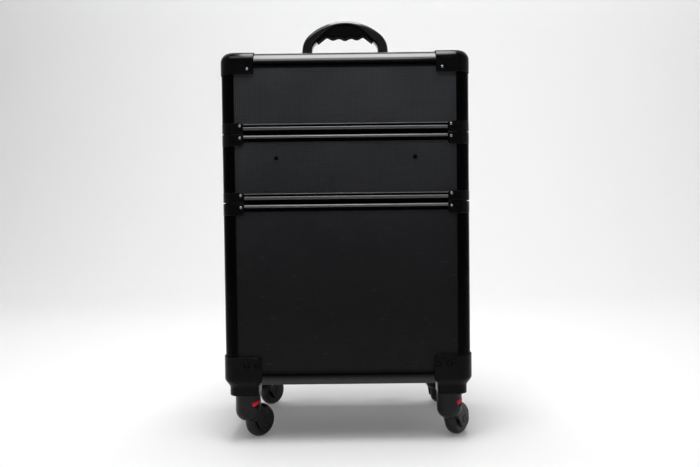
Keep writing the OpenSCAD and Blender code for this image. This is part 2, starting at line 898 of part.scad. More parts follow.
module handle_arch() {
    placed() color(GLOSS) difference() {
        union() {
            translate([0, 0, leg_top_z]) rotate([90, 0, 0]) {
                translate([0, -crown_drop, 0]) rotate([0, 0, 90 - crown_angle])
                    rotate_extrude(angle = 2 * crown_angle, $fn = 128)
                        translate([crown_arc_r, 0]) arch_section();
                for (m = [0, 1]) mirror([m, 0, 0]) translate([shoulder_x, 0, 0])
                    rotate_extrude(angle = 90 - crown_angle, $fn = 128)
                        translate([shoulder_r, 0]) arch_section();
            }
            both_legs() {
                translate([arch_half, 0, pivot_z]) linear_extrude(leg_len + EPS) arch_section();
                translate([arch_half - arch_t, 0, pivot_z]) rotate([0, 90, 0])
                    cylinder(r = leg_r, h = arch_t);
            }
        }
        translate([0, arch_depth, leg_top_z]) rotate([90, 0, 0])
            linear_extrude(2 * arch_depth) grip_plan(fit);
        translate([-arch_w, 0, pivot_z]) rotate([0, 90, 0])
            cylinder(r = pivot_d / 2 + run_clear, h = 2 * arch_w);
    }
}

// Height of the grip's lower edge: finger hollows, then a straight fall to each end
function finger_line(x) = abs(x) <= finger_end
    ? finger_up + finger_sag * x * x - finger_wave * cos(360 * x / finger_pitch)
    : finger_line(finger_end) - (abs(x) - finger_end) * (finger_line(finger_end) - grip_end)
        / (grip_half - finger_end);

module handle_grip() {
    steps = 44;
    placed() color(PLASTIC) translate([0, grip_depth / 2, leg_top_z]) rotate([90, 0, 0])
        linear_extrude(grip_depth) difference() {
            grip_plan(0);
            polygon(concat([[grip_half + 1, 0], [-grip_half - 1, 0]],
                [for (i = [0:steps]) let (x = (2 * i / steps - 1) * (grip_half + 1)) [x, finger_line(x)]]));
        }
}

// Turn latches, drawn for the right wall with the axis along X

module latch_frame(seam) {
    translate([half_w, 0, seam - latch_down]) rotate([90, 0, 90]) children();
}

module ring_sector(r_in, r_out, half_angle) {
    intersection() {
        difference() {
            circle(r = r_out, $fn = 96);
            if (r_in > 0) circle(r = r_in, $fn = 96);
        }
        polygon([[0, 0], for (a = [-1, 0, 1])
            2 * r_out * [cos(a * half_angle), sin(a * half_angle)]]);
    }
}

module latch_plate(seam) {
    top_v = latch_down - plate_high;
    latch_frame(seam) difference() {
        union() {
            translate([-latch_w / 2, -plate_low]) linear_extrude(plate_t)
                rounded_square([latch_w, plate_low + top_v], 4);
            translate([-latch_w / 2, -plate_low, -panel_recess]) linear_extrude(panel_recess + EPS)
                rounded_square([latch_w, plate_low + latch_down - low_rim_v - 0.2], 4);
        }
        translate([0, 0, -latch_pin_len]) cylinder(r = latch_pin_r + run_clear, h = 2 * latch_pin_len + plate_t);
    }
}

module latch_keeper(seam) {
    low_v = latch_down + plate_high;
    high_v = latch_down + keeper_high;
    pad_v = latch_down + rim_v + 0.2;
    latch_frame(seam) {
        difference() {
            union() {
                translate([-latch_w / 2, low_v]) linear_extrude(plate_t)
                    rounded_square([latch_w, high_v - low_v], 4);
                translate([-latch_w / 2, pad_v, -panel_recess]) linear_extrude(panel_recess + EPS)
                    rounded_square([latch_w, high_v - pad_v], 4);
            }
            translate([0, 0, plate_t - rib_seat]) linear_extrude(plate_t) rotate([0, 0, 90])
                ring_sector(keeper_r - rib_w - fit, keeper_r + fit, rib_half_angle + 0.2);
        }
        translate([0, 0, plate_t - rib_seat + fit]) linear_extrude(rib_h + rib_seat - fit) rotate([0, 0, 90])
            ring_sector(keeper_r - rib_w, keeper_r, rib_half_angle);
    }
}

// Hub with its wing, blade and hook; at rest the hook points to the back and leaves the keeper free
module latch_rotor(seam) {
    latch_frame(seam) {
        translate([0, 0, plate_t + hub_gap]) {
            cylinder(r = hub_r, h = rotor_h);
            translate([0, 0, rotor_h - web_t]) linear_extrude(web_t - fit)
                ring_sector(hub_r + fit, hook_r - hook_w - fit, hook_half_angle);
            linear_extrude(rotor_h) ring_sector(hook_r - hook_w, hook_r, hook_half_angle);
            translate([-wing_len / 2, -wing_t / 2, rotor_h - EPS]) linear_extrude(wing_h)
                rounded_square([wing_len, wing_t], 2.4);
        }
        translate([0, 0, plate_t - latch_pin_len])
            cylinder(r = latch_pin_r, h = latch_pin_len + hub_gap + EPS);
    }
}

module both_walls() {
    for (m = [0, 1]) mirror([m, 0, 0]) children();
}

module lower_latch_plates() {
    placed() color(BLACK_METAL) both_walls() latch_plate(seam_low);
}

module middle_latch_plates() {
    placed() color(BLACK_METAL) both_walls() latch_plate(seam_high);
}

module middle_keepers() {
    placed() color(BLACK_METAL) both_walls() latch_keeper(seam_low);
}

module top_keepers() {
    placed() color(BLACK_METAL) both_walls() latch_keeper(seam_high);
}

module latch_lower_left() {
    placed() color(STEEL) mirror([1, 0, 0]) latch_rotor(seam_low);
}

module latch_lower_right() {
    placed() color(STEEL) latch_rotor(seam_low);
}

module latch_upper_left() {
    placed() color(STEEL) mirror([1, 0, 0]) latch_rotor(seam_high);
}

module latch_upper_right() {
    placed() color(STEEL) latch_rotor(seam_high);
}

// Telescopic handle on the back

module at_tubes() {
    for (x = [-tube_pitch / 2, tube_pitch / 2]) translate([x, tube_y, 0]) children();
}

module tube_pair(r, low, high) {
    at_tubes() translate([0, 0, low]) difference() {
        cylinder(r = r, h = high - low);
        translate([0, 0, -1]) cylinder(r = r - tube_wall, h = high - low + 2);
    }
}

module trolley_outer_tubes() {
    placed() color(BLACK_METAL) tube_pair(tube_r, outer_low_z, outer_high_z);
}

module trolley_mid_tubes() {
    placed() color(STEEL) tube_pair(mid_r, mid_low_z, mid_high_z);
}

module trolley_inner_tubes() {
    placed() color(STEEL) tube_pair(inner_r, inner_low_z, grip_high_z - 4);
}

module trolley_brackets() {
    depth = bracket_back - bracket_y;
    end = tube_r + 8;
    placed() color(PLASTIC) difference() {
        union() {
            for (s = [-1, 1]) translate([s * tube_pitch / 2 - end, bracket_y, bracket_low_z])
                linear_extrude(bracket_low_h) rounded_square([2 * end, depth], 3);
            translate([-tube_pitch / 2 - end, bracket_y, bracket_high_z])
                linear_extrude(bracket_high_h) rounded_square([tube_pitch + 2 * end, depth], 3);
        }
        at_tubes() translate([0, 0, outer_low_z]) cylinder(r = tube_r + fit, h = lower_h);
    }
}

module trolley_grip() {
    placed() color(PLASTIC) difference() {
        union() {
            at_tubes() translate([0, 0, grip_low_z])
                cylinder(r = bar_half_d, h = grip_high_z - grip_low_z);
            translate([-tube_pitch / 2, tube_y - bar_half_d, grip_high_z - bar_h])
                rotate([90, 0, 90]) linear_extrude(tube_pitch)
                    rounded_square([2 * bar_half_d, bar_h], 5);
        }
        at_tubes() translate([0, 0, grip_low_z - 1])
            cylinder(r = inner_r + fit, h = grip_high_z - grip_low_z - 3);
        translate([-grip_button[0] / 2 - 0.3, tube_y - grip_button[1] / 2 - 0.3,
            grip_high_z - grip_button_deep - grip_button_travel - 0.5])
            cube([grip_button[0] + 0.6, grip_button[1] + 0.6, bar_h]);
    }
}

module trolley_button() {
    placed() color(PLASTIC)
        translate([-grip_button[0] / 2, tube_y - grip_button[1] / 2, grip_high_z - grip_button_deep])
            linear_extrude(grip_button_deep + grip_button_up) rounded_square(grip_button, 3);
}

// Casters, drawn round the swivel axis with the wheel towards +X

module at_caster(side_x, side_y, angle) {
    placed() translate([side_x * (half_w - stem_inset), side_y * (half_d - stem_inset), 0])
        rotate([0, 0, angle]) children();
}

// Plug-in pin with its snap groove and the head that holds the fork
module caster_pin() {
    color(STEEL) {
        difference() {
            translate([0, 0, head_low_z]) cylinder(r = pin_r, h = pin_top_z - head_low_z);
            translate([0, 0, pin_top_z - 5]) rotate_extrude()
                translate([pin_r - 0.8, 0]) square([2, 2]);
        }
        translate([0, 0, head_low_z]) cylinder(r = head_r, h = head_t);
    }
}

function arc_points(c, r, a0, a1, n) =
    [for (i = [0:n]) c + r * [cos(a0 + (a1 - a0) * i / n), sin(a0 + (a1 - a0) * i / n)]];

// Point of a cubic curve through p[0] and p[3], pulled by p[1] and p[2]
function curve_point(p, t) =
    pow(1 - t, 3) * p[0] + 3 * t * pow(1 - t, 2) * p[1] + 3 * t * t * (1 - t) * p[2] + pow(t, 3) * p[3];

// Side outline of the fork, with its lower edge in an S curve
module arm_outline() {
    start = [heel_x + 4, skirt_z];
    end = boss_at + boss_r * [cos(230), sin(230)];
    pulls = [start, start + [5, -1.5], end + 9 * [cos(140), sin(140)], end];
    polygon(concat(arc_points(boss_at, boss_r, 230, 388, 20),
        arc_points(crest_at, crest_r, 28, 90, 6),
        [[heel_x + 4, crest_at[1] + crest_r]],
        [for (i = [0:9]) curve_point(pulls, i / 10)]));
}

// Neck with a rounded foot
module neck_section() {
    polygon(concat([[0, neck_top_z], [0, skirt_z]],
        arc_points([neck_r - skirt_round, skirt_z + skirt_round], skirt_round, -90, 0, 8),
        [[neck_r, neck_top_z]]));
}

// Places the release button's frame on the neck, +Z outwards
module on_neck() {
    translate([0, 0, button_z]) rotate([90, 0, 0]) rotate([0, 0, -button_tilt]) children();
}

module caster_fork() {
    color(PLASTIC) difference() {
        union() {
            rotate_extrude() neck_section();
            rotate([90, 0, 0]) linear_extrude(2 * arm_half, center = true) arm_outline();
        }
        translate([trail, 0, wheel_r]) rotate([90, 0, 0])
            cylinder(r = cavity_r, h = cavity_w, center = true);
        translate([0, 0, head_low_z]) cylinder(r = pin_r + run_clear, h = neck_top_z);
        translate([0, 0, head_low_z - 0.3]) cylinder(r = head_r + 0.3, h = head_t + 0.6);
        on_neck() translate([-button_size[0] / 2 - 0.3, -button_size[1] / 2 - 0.3,
            neck_r - button_in - button_travel - 0.5])
            cube([button_size[0] + 0.6, button_size[1] + 0.6, 2 * button_in]);
        on_neck() translate([0, -button_size[1] / 2, neck_r - 2]) cylinder(r = 5, h = 10);
        translate([trail, 0, wheel_r]) rotate([90, 0, 0])
            cylinder(r = axle_r + run_clear, h = 2 * neck_d, center = true);
    }
    color(STEEL) translate([trail, 0, wheel_r]) rotate([90, 0, 0]) {
        cylinder(r = axle_r, h = 2 * arm_half, center = true);
        for (m = [0, 1]) mirror([0, 0, m]) translate([0, 0, arm_half])
            cylinder(r = hub_cap_r, h = hub_cap_t);
    }
}

module caster_wheel() {
    translate([trail, 0, wheel_r]) rotate([90, 0, 0]) {
        color(PLASTIC) rotate_extrude() intersection() {
            translate([tyre_in_r, -wheel_w / 2]) square([wheel_r - tyre_in_r, wheel_w]);
            translate([wheel_r - crown_r, 0]) circle(r = crown_r, $fn = 128);
        }
        color(BLACK_METAL) rotate_extrude() {
            translate([axle_r + run_clear, -wheel_w / 2 + 1])
                square([tyre_in_r - axle_r - run_clear - fit, wheel_w - 2]);
            translate([axle_r + run_clear, -cavity_w / 2 + 0.3]) square([3, cavity_w - 0.6]);
        }
    }
}

module caster_button() {
    color(RED) intersection() {
        on_neck() translate([-button_size[0] / 2, -button_size[1] / 2, neck_r - button_in])
            cube([button_size[0], button_size[1], 2 * button_in]);
        cylinder(r = neck_r + button_proud, h = neck_top_z);
    }
}

module pin_front_left() {
    at_caster(-1, -1, swivel_fl) caster_pin();
}

module fork_front_left() {
    at_caster(-1, -1, swivel_fl) caster_fork();
}

module wheel_front_left() {
    at_caster(-1, -1, swivel_fl) caster_wheel();
}

module button_front_left() {
    at_caster(-1, -1, swivel_fl) caster_button();
}

module pin_front_right() {
    at_caster(1, -1, swivel_fr) caster_pin();
}

module fork_front_right() {
    at_caster(1, -1, swivel_fr) caster_fork();
}

module wheel_front_right() {
    at_caster(1, -1, swivel_fr) caster_wheel();
}

module button_front_right() {
    at_caster(1, -1, swivel_fr) caster_button();
}

module pin_rear_left() {
    at_caster(-1, 1, swivel_rl) caster_pin();
}

module fork_rear_left() {
    at_caster(-1, 1, swivel_rl) caster_fork();
}

module wheel_rear_left() {
    at_caster(-1, 1, swivel_rl) caster_wheel();
}

module button_rear_left() {
    at_caster(-1, 1, swivel_rl) caster_button();
}

module pin_rear_right() {
    at_caster(1, 1, swivel_rr) caster_pin();
}

module fork_rear_right() {
    at_caster(1, 1, swivel_rr) caster_fork();
}

module wheel_rear_right() {
    at_caster(1, 1, swivel_rr) caster_wheel();
}

module button_rear_right() {
    at_caster(1, 1, swivel_rr) caster_button();
}

lower_wall_panels();
lower_floor();
lower_posts();
lower_base_rails();
lower_rim();
lower_rim_castings();
caster_housings();
lower_fasteners();
middle_wall_panels();
middle_floor();
middle_posts();
middle_bottom_rim();
middle_top_rim();
middle_rim_castings();
middle_fasteners();
tray_ledges();
tray();
top_wall_panels();
lid_panel();
top_posts();
top_edge_rails();
top_rim();
top_rim_castings();
top_corner_caps();
top_fasteners();
handle_brackets();
handle_arch();
handle_grip();
lower_latch_plates();
middle_latch_plates();
middle_keepers();
top_keepers();
latch_lower_left();
latch_lower_right();
latch_upper_left();
latch_upper_right();
trolley_outer_tubes();
trolley_brackets();
trolley_mid_tubes();
trolley_inner_tubes();
trolley_grip();
trolley_button();
pin_front_left();
fork_front_left();
wheel_front_left();
button_front_left();
pin_front_right();
fork_front_right();
wheel_front_right();
button_front_right();
pin_rear_left();
fork_rear_left();
wheel_rear_left();
button_rear_left();
pin_rear_right();
fork_rear_right();
wheel_rear_right();
button_rear_right();
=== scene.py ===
"""Looks of a rolling equipment case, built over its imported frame.

The frame gives the place of every piece and the sizes that they share. Lengths are in metres,
+Z is up, the photographed face looks along -Y, and each caster's own plane follows from its wheel.
"""

import json
import logging
import math
from contextlib import contextmanager
from dataclasses import dataclass, field
from enum import Enum
from typing import Callable, Iterator, Sequence

import bpy
from bpy.types import Material, Node, NodeSocket, Object, World
from mathutils import Matrix, Vector

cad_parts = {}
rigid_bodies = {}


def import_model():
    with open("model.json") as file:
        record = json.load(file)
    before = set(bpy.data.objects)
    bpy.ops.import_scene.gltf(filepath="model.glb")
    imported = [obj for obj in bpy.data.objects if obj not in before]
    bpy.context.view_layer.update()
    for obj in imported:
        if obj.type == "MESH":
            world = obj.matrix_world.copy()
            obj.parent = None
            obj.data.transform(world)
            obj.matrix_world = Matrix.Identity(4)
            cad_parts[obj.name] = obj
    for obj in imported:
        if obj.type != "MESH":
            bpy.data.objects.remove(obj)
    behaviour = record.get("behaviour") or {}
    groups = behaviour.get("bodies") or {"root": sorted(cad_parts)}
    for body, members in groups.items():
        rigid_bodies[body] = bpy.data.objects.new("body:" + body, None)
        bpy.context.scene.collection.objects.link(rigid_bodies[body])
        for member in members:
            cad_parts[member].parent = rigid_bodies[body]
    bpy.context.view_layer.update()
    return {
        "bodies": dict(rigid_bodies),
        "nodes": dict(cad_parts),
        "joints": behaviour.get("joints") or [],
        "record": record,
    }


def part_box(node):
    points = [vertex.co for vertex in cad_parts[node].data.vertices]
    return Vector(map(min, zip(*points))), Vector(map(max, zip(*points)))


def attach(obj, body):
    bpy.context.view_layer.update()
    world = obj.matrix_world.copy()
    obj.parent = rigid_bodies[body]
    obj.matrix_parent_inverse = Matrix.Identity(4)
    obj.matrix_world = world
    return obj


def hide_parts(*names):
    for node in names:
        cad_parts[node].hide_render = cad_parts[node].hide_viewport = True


LOG = logging.getLogger("rolling_case")
MM = 0.001
CORNERS = ("front_left", "front_right", "rear_left", "rear_right")

Span = tuple[float, float]
Triple = tuple[float, float, float]
Value = "float | Sequence[float] | Signal | NodeSocket"


# Shader tools


def _operator(operation: str, reflected: bool = False) -> Callable[..., "Signal"]:
    """Makes a method of Signal that adds one Math node.

    Args:
        operation: The node's operation, such as ADD.
        reflected: Whether the other value comes first.

    Returns:
        The method.
    """

    def method(self: "Signal", *others: Value) -> "Signal":
        """Adds the Math node.

        Args:
            *others: The other value, where there is one.

        Returns:
            The node's result.
        """
        values = (*others, self) if reflected else (self, *others)
        node = self.sheet.add("ShaderNodeMath", {"operation": operation}, dict(enumerate(values)))
        return Signal(self.sheet, node.outputs[0])

    return method


class Signal:
    """A number in a shader that takes part in plain arithmetic.

    A comparison gives 1 where it holds, else 0.
    """

    __add__, __radd__ = _operator("ADD"), _operator("ADD", reflected=True)
    __sub__, __rsub__ = _operator("SUBTRACT"), _operator("SUBTRACT", reflected=True)
    __mul__, __rmul__ = _operator("MULTIPLY"), _operator("MULTIPLY", reflected=True)
    __gt__, __lt__ = _operator("GREATER_THAN"), _operator("LESS_THAN")
    __abs__, cosine = _operator("ABSOLUTE"), _operator("COSINE")

    def __init__(self, sheet: "NodeSheet", socket: NodeSocket) -> None:
        """Wraps one output socket.

        Args:
            sheet: The node sheet that new nodes go on.
            socket: The output socket that carries the value.
        """
        self.sheet = sheet
        self.socket = socket

    def between(self, low: float, high: float, start: float = 0.0, end: float = 1.0) -> "Signal":
        """Eases the value from start at low to end at high.

        Args:
            low: The value that gives start. It may be larger than high.
            high: The value that gives end.
            start: The result up to low.
            end: The result from high on.

        Returns:
            The eased value.
        """
        values = {"Value": self, "From Min": low, "From Max": high, "To Min": start, "To Max": end}
        smooth = {"interpolation_type": "SMOOTHSTEP"}
        return Signal(self.sheet, self.sheet.add("ShaderNodeMapRange", smooth, values).outputs[0])


class NodeSheet:
    """The node tree of one material or world, with its main shader."""

    def __init__(self, owner: Material | World, shader: str = "Principled BSDF") -> None:
        """Opens the owner's node tree.

        Args:
            owner: The new material or world.
            shader: The name of its main shader.
        """
        owner.use_nodes = True
        self.owner = owner
        self.tree = owner.node_tree
        self.shader = self.tree.nodes[shader]
        self._place: NodeSocket | None = None

    def add(self, kind: str, settings: dict | None = None, values: dict | None = None) -> Node:
        """Adds a node.

        Args:
            kind: The node's type.
            settings: Its settings, which are set first.
            values: What goes into its input sockets, by name or number.

        Returns:
            The new node.
        """
        node = self.tree.nodes.new(kind)
        for key, value in (settings or {}).items():
            setattr(node, key, value)
        for key, value in (values or {}).items():
            self.feed(node.inputs[key], value)
        return node

    def feed(self, target: NodeSocket, value: Value) -> None:
        """Links a value to an input socket, or sets it there.

        Args:
            target: The input socket.
            value: A number, a colour, a vector or an output.
        """
        if isinstance(value, Signal):
            value = value.socket
        if isinstance(value, NodeSocket):
            self.tree.links.new(value, target)
        elif isinstance(value, (int, float)):
            target.default_value = value
        else:
            room = len(target.default_value)
            target.default_value = (*value, 1.0)[:room]

    def set(self, socket: str, value: Value) -> None:
        """Sets one socket of the main shader."""
        self.feed(self.shader.inputs[socket], value)

    @property
    def place(self) -> NodeSocket:
        """The surface point in the object's coordinates."""
        if self._place is None:
            self._place = self.add("ShaderNodeTexCoord").outputs["Object"]
        return self._place

    def split(self, vector: NodeSocket) -> tuple[Signal, Signal, Signal]:
        """Returns a vector's x, y and z."""
        node = self.add("ShaderNodeSeparateXYZ", None, {0: vector})
        return tuple(Signal(self, out) for out in node.outputs)

    def axes(self) -> tuple[Signal, Signal, Signal]:
        """Returns the surface point's x, y and z."""
        return self.split(self.place)

    def facing(self) -> tuple[Signal, Signal, Signal]:
        """Returns the surface normal's x, y and z without their signs."""
        normal = self.add("ShaderNodeNewGeometry").outputs["Normal"]
        return tuple(abs(part) for part in self.split(normal))

    def noise(self, scale: float, detail: float = 2.0, stretch: Triple = (1, 1, 1)) -> Signal:
        """Adds noise that is fixed to the object.

        Args:
            scale: Its features per metre.
            detail: How many finer layers it has.
            stretch: How much finer it is along each axis.

        Returns:
            The noise, from 0 to 1.
        """
        spot = self.place
        if tuple(stretch) != (1, 1, 1):
            mapping = self.add("ShaderNodeMapping", None, {"Vector": spot, "Scale": stretch})
            spot = mapping.outputs[0]
        values = {"Vector": spot, "Scale": scale, "Detail": detail}
        return Signal(self, self.add("ShaderNodeTexNoise", None, values).outputs["Fac"])

    def blend(self, mask: Signal, low: Value, high: Value) -> NodeSocket:
        """Mixes two colours.

        Args:
            mask: 0 for the first colour and 1 for the second.
            low: The first colour.
            high: The second colour.

        Returns:
            The mixed colour.
        """
        node = self.add("ShaderNodeMix", {"data_type": "RGBA"}, {0: mask, 6: low, 7: high})
        return node.outputs[2]

    def bump(self, height: Signal, depth: float) -> None:
        """Raises the surface by a height pattern.

        Args:
            height: The pattern.
            depth: The height in metres that 1 stands for.
        """
        node = self.add("ShaderNodeBump", None, {"Distance": depth, "Height": height})
        self.set("Normal", node.outputs[0])


# Finishes


@dataclass(frozen=True)
class Blotches:
    """Noise that is eased to 0 under one level and to 1 over another."""

    scale: float
    detail: float
    low: float
    high: float
    stretch: Triple = (1, 1, 1)

    def on(self, sheet: NodeSheet) -> Signal:
        """Returns the blotches as a mask on a node sheet."""
        return sheet.noise(self.scale, self.detail, self.stretch).between(self.low, self.high)


@dataclass(frozen=True)
class Finish:
    """A surface finish with a fine grain and a little unevenness."""

    name: str
    color: Triple
    roughness: float
    metallic: float = 0.0
    specular: float = 0.5
    grain: float = 900.0
    grain_depth: float = 0.02 * MM
    patches: Blotches = Blotches(14.0, 3.0, 0.35, 0.68)
    patchiness: float = 0.12

    def material(self) -> Material:
        """Builds the material once and gives it again after that.

        Returns:
            The material.
        """
        finish_name = f"{self.name}_finish"
        made = bpy.data.materials.get(finish_name)
        if made:
            return made
        sheet = NodeSheet(bpy.data.materials.new(finish_name))
        sheet.set("Metallic", self.metallic)
        sheet.set("Specular IOR Level", self.specular)
        sheet.owner.diffuse_color = (*self.color, 1.0)
        self.dress(sheet)
        return sheet.owner

    def tone(self, gain: float) -> Triple:
        """Returns the finish's colour made lighter or darker by a gain."""
        return tuple(min(1.0, part * gain) for part in self.color)

    def dress(self, sheet: NodeSheet) -> None:
        """Adds the grain and the patches.

        Args:
            sheet: The material's node sheet.
        """
        patches = self.patches.on(sheet)
        dark, light = self.tone(1 - self.patchiness), self.tone(1 + self.patchiness)
        sheet.set("Base Color", sheet.blend(patches, dark, light))
        sheet.set("Roughness", self.roughness + (patches - 0.5) * self.patchiness)
        sheet.bump(sheet.noise(self.grain), self.grain_depth)


@dataclass(frozen=True)
class DottedLaminate(Finish):
    """Panel laminate with raised diamonds and scuffs, a painted sheen up top and painted shade by
    its rails.
    """

    patches: Blotches = Blotches(9.0, 4.0, 0.3, 0.7)
    patchiness: float = 0.1
    pitch: float = 2.6 * MM
    dot_slope: Span = (-0.2, 1.5)
    dot_depth: float = 0.16 * MM
    dot_gains: Span = (0.8, 1.6)
    dot_polish: float = 0.06
    scuffs: Blotches = Blotches(60.0, 5.0, 0.66, 0.74, (1, 1, 7))
    scuff_cover: float = 0.4
    scuff_height: float = 0.1
    # Painted sheen over the upper panels: its heights, its unevenness and the lighter dot gains
    # that it uses.
    sheen_heights: Span = (180 * MM, 620 * MM)
    sheen_unevenness: float = 0.3
    dust_gain: float = 8.0
    sheened_dot_gains: Span = (6.0, 10.4)
    # Painted shade: heights under and over which the panel is near black, and the gain for it.
    shade_below: float = 107.5 * MM
    shade_above: float = 545.5 * MM
    edge_shade_gain: float = 0.1

    def dress(self, sheet: NodeSheet) -> None:
        """Adds the diamonds, the scuffs, the painted sheen and the painted shade along the edges.

        Args:
            sheet: The material's node sheet.
        """
        x, y, z = sheet.axes()
        nx, _, nz = sheet.facing()
        side = nx > 0.5
        top = nz > 0.5
        across = x + (y - x) * side
        upright = z + (y - z) * top
        turn = 2 * math.pi / self.pitch
        dots = ((across * turn).cosine() + (upright * turn).cosine()).between(*self.dot_slope)
        patches = self.patches.on(sheet)
        scuffs = self.scuffs.on(sheet)
        # Painted sheen: the panel grows lighter with height, unevenly, standing in for light from
        # above.
        sheen_cover = patches * self.sheen_unevenness + (1 - self.sheen_unevenness / 2)
        dust_and_painted_sheen = z.between(*self.sheen_heights) * sheen_cover
        unsheened = sheet.blend(dots, *map(self.tone, self.dot_gains))
        sheened = sheet.blend(dots, *map(self.tone, self.sheened_dot_gains))
        base = sheet.blend(dust_and_painted_sheen, unsheened, sheened)
        base = sheet.blend(scuffs * self.scuff_cover, base, self.tone(self.dust_gain))
        # Painted shade: near black along the panel's bottom, and along its top on all but upward
        # faces.
        painted_edge_shade = (z < self.shade_below) + (z > self.shade_above) * (1 - top)
        sheet.set("Base Color", sheet.blend(painted_edge_shade, base, self.tone(self.edge_shade_gain)))
        unevenness = (patches - 0.5) * self.patchiness
        sheet.set("Roughness", self.roughness + unevenness - dots * self.dot_polish)
        sheet.bump(dots + scuffs * self.scuff_height, self.dot_depth)


@dataclass(frozen=True)
class DrawnMetal(Finish):
    """Metal with fine lines from its drawing, along one axis."""

    lines: Triple = (1.0, 1.0, 1.0)
    line_scale: float = 700.0
    wear: Blotches = Blotches(35.0, 4.0, 0.62, 0.8)
    wear_gain: float = 1.6
    unevenness: float = 0.05

    def dress(self, sheet: NodeSheet) -> None:
        """Adds the drawing lines and light wear.

        Args:
            sheet: The material's node sheet.
        """
        lines = sheet.noise(self.line_scale, stretch=self.lines)
        wear = self.wear.on(sheet)
        sheet.set("Base Color", sheet.blend(wear, self.color, self.tone(self.wear_gain)))
        scratches = (lines - 0.5) * self.unevenness
        sheet.set("Roughness", self.roughness + scratches + wear * self.unevenness)
        sheet.bump(lines, self.grain_depth)


@dataclass(frozen=True)
class BandedRail(DrawnMetal):
    """Black extrusion with painted highlights by each seam and painted shade off the top rail's
    crown.
    """

    seams: Span = (352 * MM, 452 * MM)
    # Where the painted highlights lie: bands on both sides of each seam and a bead above it.
    band_shift: float = 0.85 * MM
    band_middle: float = 5.85 * MM
    band_half: float = 2.25 * MM
    bead_middle: float = 12.6 * MM
    bead_half: float = 0.6 * MM
    # Painted shade: the rail is near black outside these crown heights and dimmed over its top, by
    # the gains below.
    crown_low: Span = (549.5 * MM, 558 * MM)
    crown_high: Span = (559 * MM, 568 * MM)
    crown_top_shade: float = 0.7
    groove_shade_gain: float = 0.04
    # Colour of the painted highlights on the bands and beads.
    painted_highlight: Triple = (0.125, 0.125, 0.128)
    satin_roughness: float = 0.45

    def dress(self, sheet: NodeSheet) -> None:
        """Adds the drawing lines, painted shade over all but the crown, and painted highlights on
        the bands and beads.

        Args:
            sheet: The material's node sheet.
        """
        super().dress(sheet)
        _, _, z = sheet.axes()
        # Painted highlights: lighter bands just over and under each seam, and a lighter bead above
        # it.
        rubbed_and_highlit = []
        for seam in self.seams:
            band = abs(abs(z - seam - self.band_shift) - self.band_middle)
            rubbed_and_highlit += [band < self.band_half, abs(z - seam - self.bead_middle) < self.bead_half]
        painted_highlight = sum(rubbed_and_highlit)
        # Painted shade: near black but for the top rail's crown, which is itself dimmed near its
        # top.
        crown = z.between(*self.crown_low) * (1 - z.between(*self.crown_high) * self.crown_top_shade)
        base = sheet.blend(crown, self.tone(self.groove_shade_gain), self.color)
        sheet.set("Base Color", sheet.blend(painted_highlight, base, self.painted_highlight))
        sheet.set("Roughness", self.roughness + painted_highlight * (self.satin_roughness - self.roughness))


@dataclass(frozen=True)
class ShadedSill(DrawnMetal):
    """Base rail with painted shade: black along its upper lip, greyer down to its lower edge."""

    # Painted shade: the heights over which the lip's near black eases to the rail's colour.
    lip_shade_span: Span = (103 * MM, 91 * MM)
    lip_shade_gain: float = 0.03

    def dress(self, sheet: NodeSheet) -> None:
        """Adds the drawing lines and the painted shade.

        Args:
            sheet: The material's node sheet.
        """
        super().dress(sheet)
        _, _, z = sheet.axes()
        # Painted shade: near black at the upper lip, easing to the rail's colour lower down.
        shade = sheet.blend(z.between(*self.lip_shade_span), self.tone(self.lip_shade_gain), self.color)
        sheet.set("Base Color", shade)


@dataclass(frozen=True)
class MouldedPlastic(Finish):
    """Spark-eroded moulded plastic with a dull, fine pebble."""

    pebble_detail: float = 3.0
    pebble_roughness: float = 0.2
    rubbed_and_highlit: Blotches = Blotches(26.0, 3.0, 0.45, 0.75)
    rubbed_gain: float = 1.35
    rubbed_polish: float = 0.08

    def dress(self, sheet: NodeSheet) -> None:
        """Adds the pebble, and rubbed spots that are a little smoother.

        Args:
            sheet: The material's node sheet.
        """
        pebble = sheet.noise(self.grain, self.pebble_detail)
        rubbed_and_highlit = self.rubbed_and_highlit.on(sheet)
        sheet.set("Base Color", sheet.blend(rubbed_and_highlit, self.color, self.tone(self.rubbed_gain)))
        dull = self.roughness + (pebble - 0.5) * self.pebble_roughness
        sheet.set("Roughness", dull - rubbed_and_highlit * self.rubbed_polish)
        sheet.bump(pebble, self.grain_depth)


@dataclass(frozen=True)
class RollingTread(Finish):
    """Wheel rubber with floor dust in patches."""

    patches: Blotches = Blotches(120.0, 5.0, 0.42, 0.66)
    patchiness: float = 0.15
    dust_gain: float = 1.8
    scratch_detail: float = 4.0

    def dress(self, sheet: NodeSheet) -> None:
        """Adds floor dust and fine scratches.

        Args:
            sheet: The material's node sheet.
        """
        dust_and_painted_sheen = self.patches.on(sheet)
        sheet.set("Base Color", sheet.blend(dust_and_painted_sheen, self.color, self.tone(self.dust_gain)))
        sheet.set("Roughness", self.roughness + (dust_and_painted_sheen - 0.5) * self.patchiness)
        sheet.bump(sheet.noise(self.grain, self.scratch_detail), self.grain_depth)


@dataclass(frozen=True)
class ZonedSteel(DrawnMetal):
    """Bright steel rivets, with blackened screws in the housings and the middle wall."""

    housing_top: float = 130 * MM
    ledge_height: float = 416 * MM
    screw_reach: float = 5 * MM
    blackened: Triple = (0.008, 0.008, 0.0085)

    def dress(self, sheet: NodeSheet) -> None:
        """Adds the drawing lines, and blackens the screws by their height.

        Args:
            sheet: The material's node sheet.
        """
        super().dress(sheet)
        _, _, z = sheet.axes()
        bright = (z > self.housing_top) * (abs(z - self.ledge_height) > self.screw_reach)
        sheet.set("Base Color", sheet.blend(bright, self.blackened, self.color))


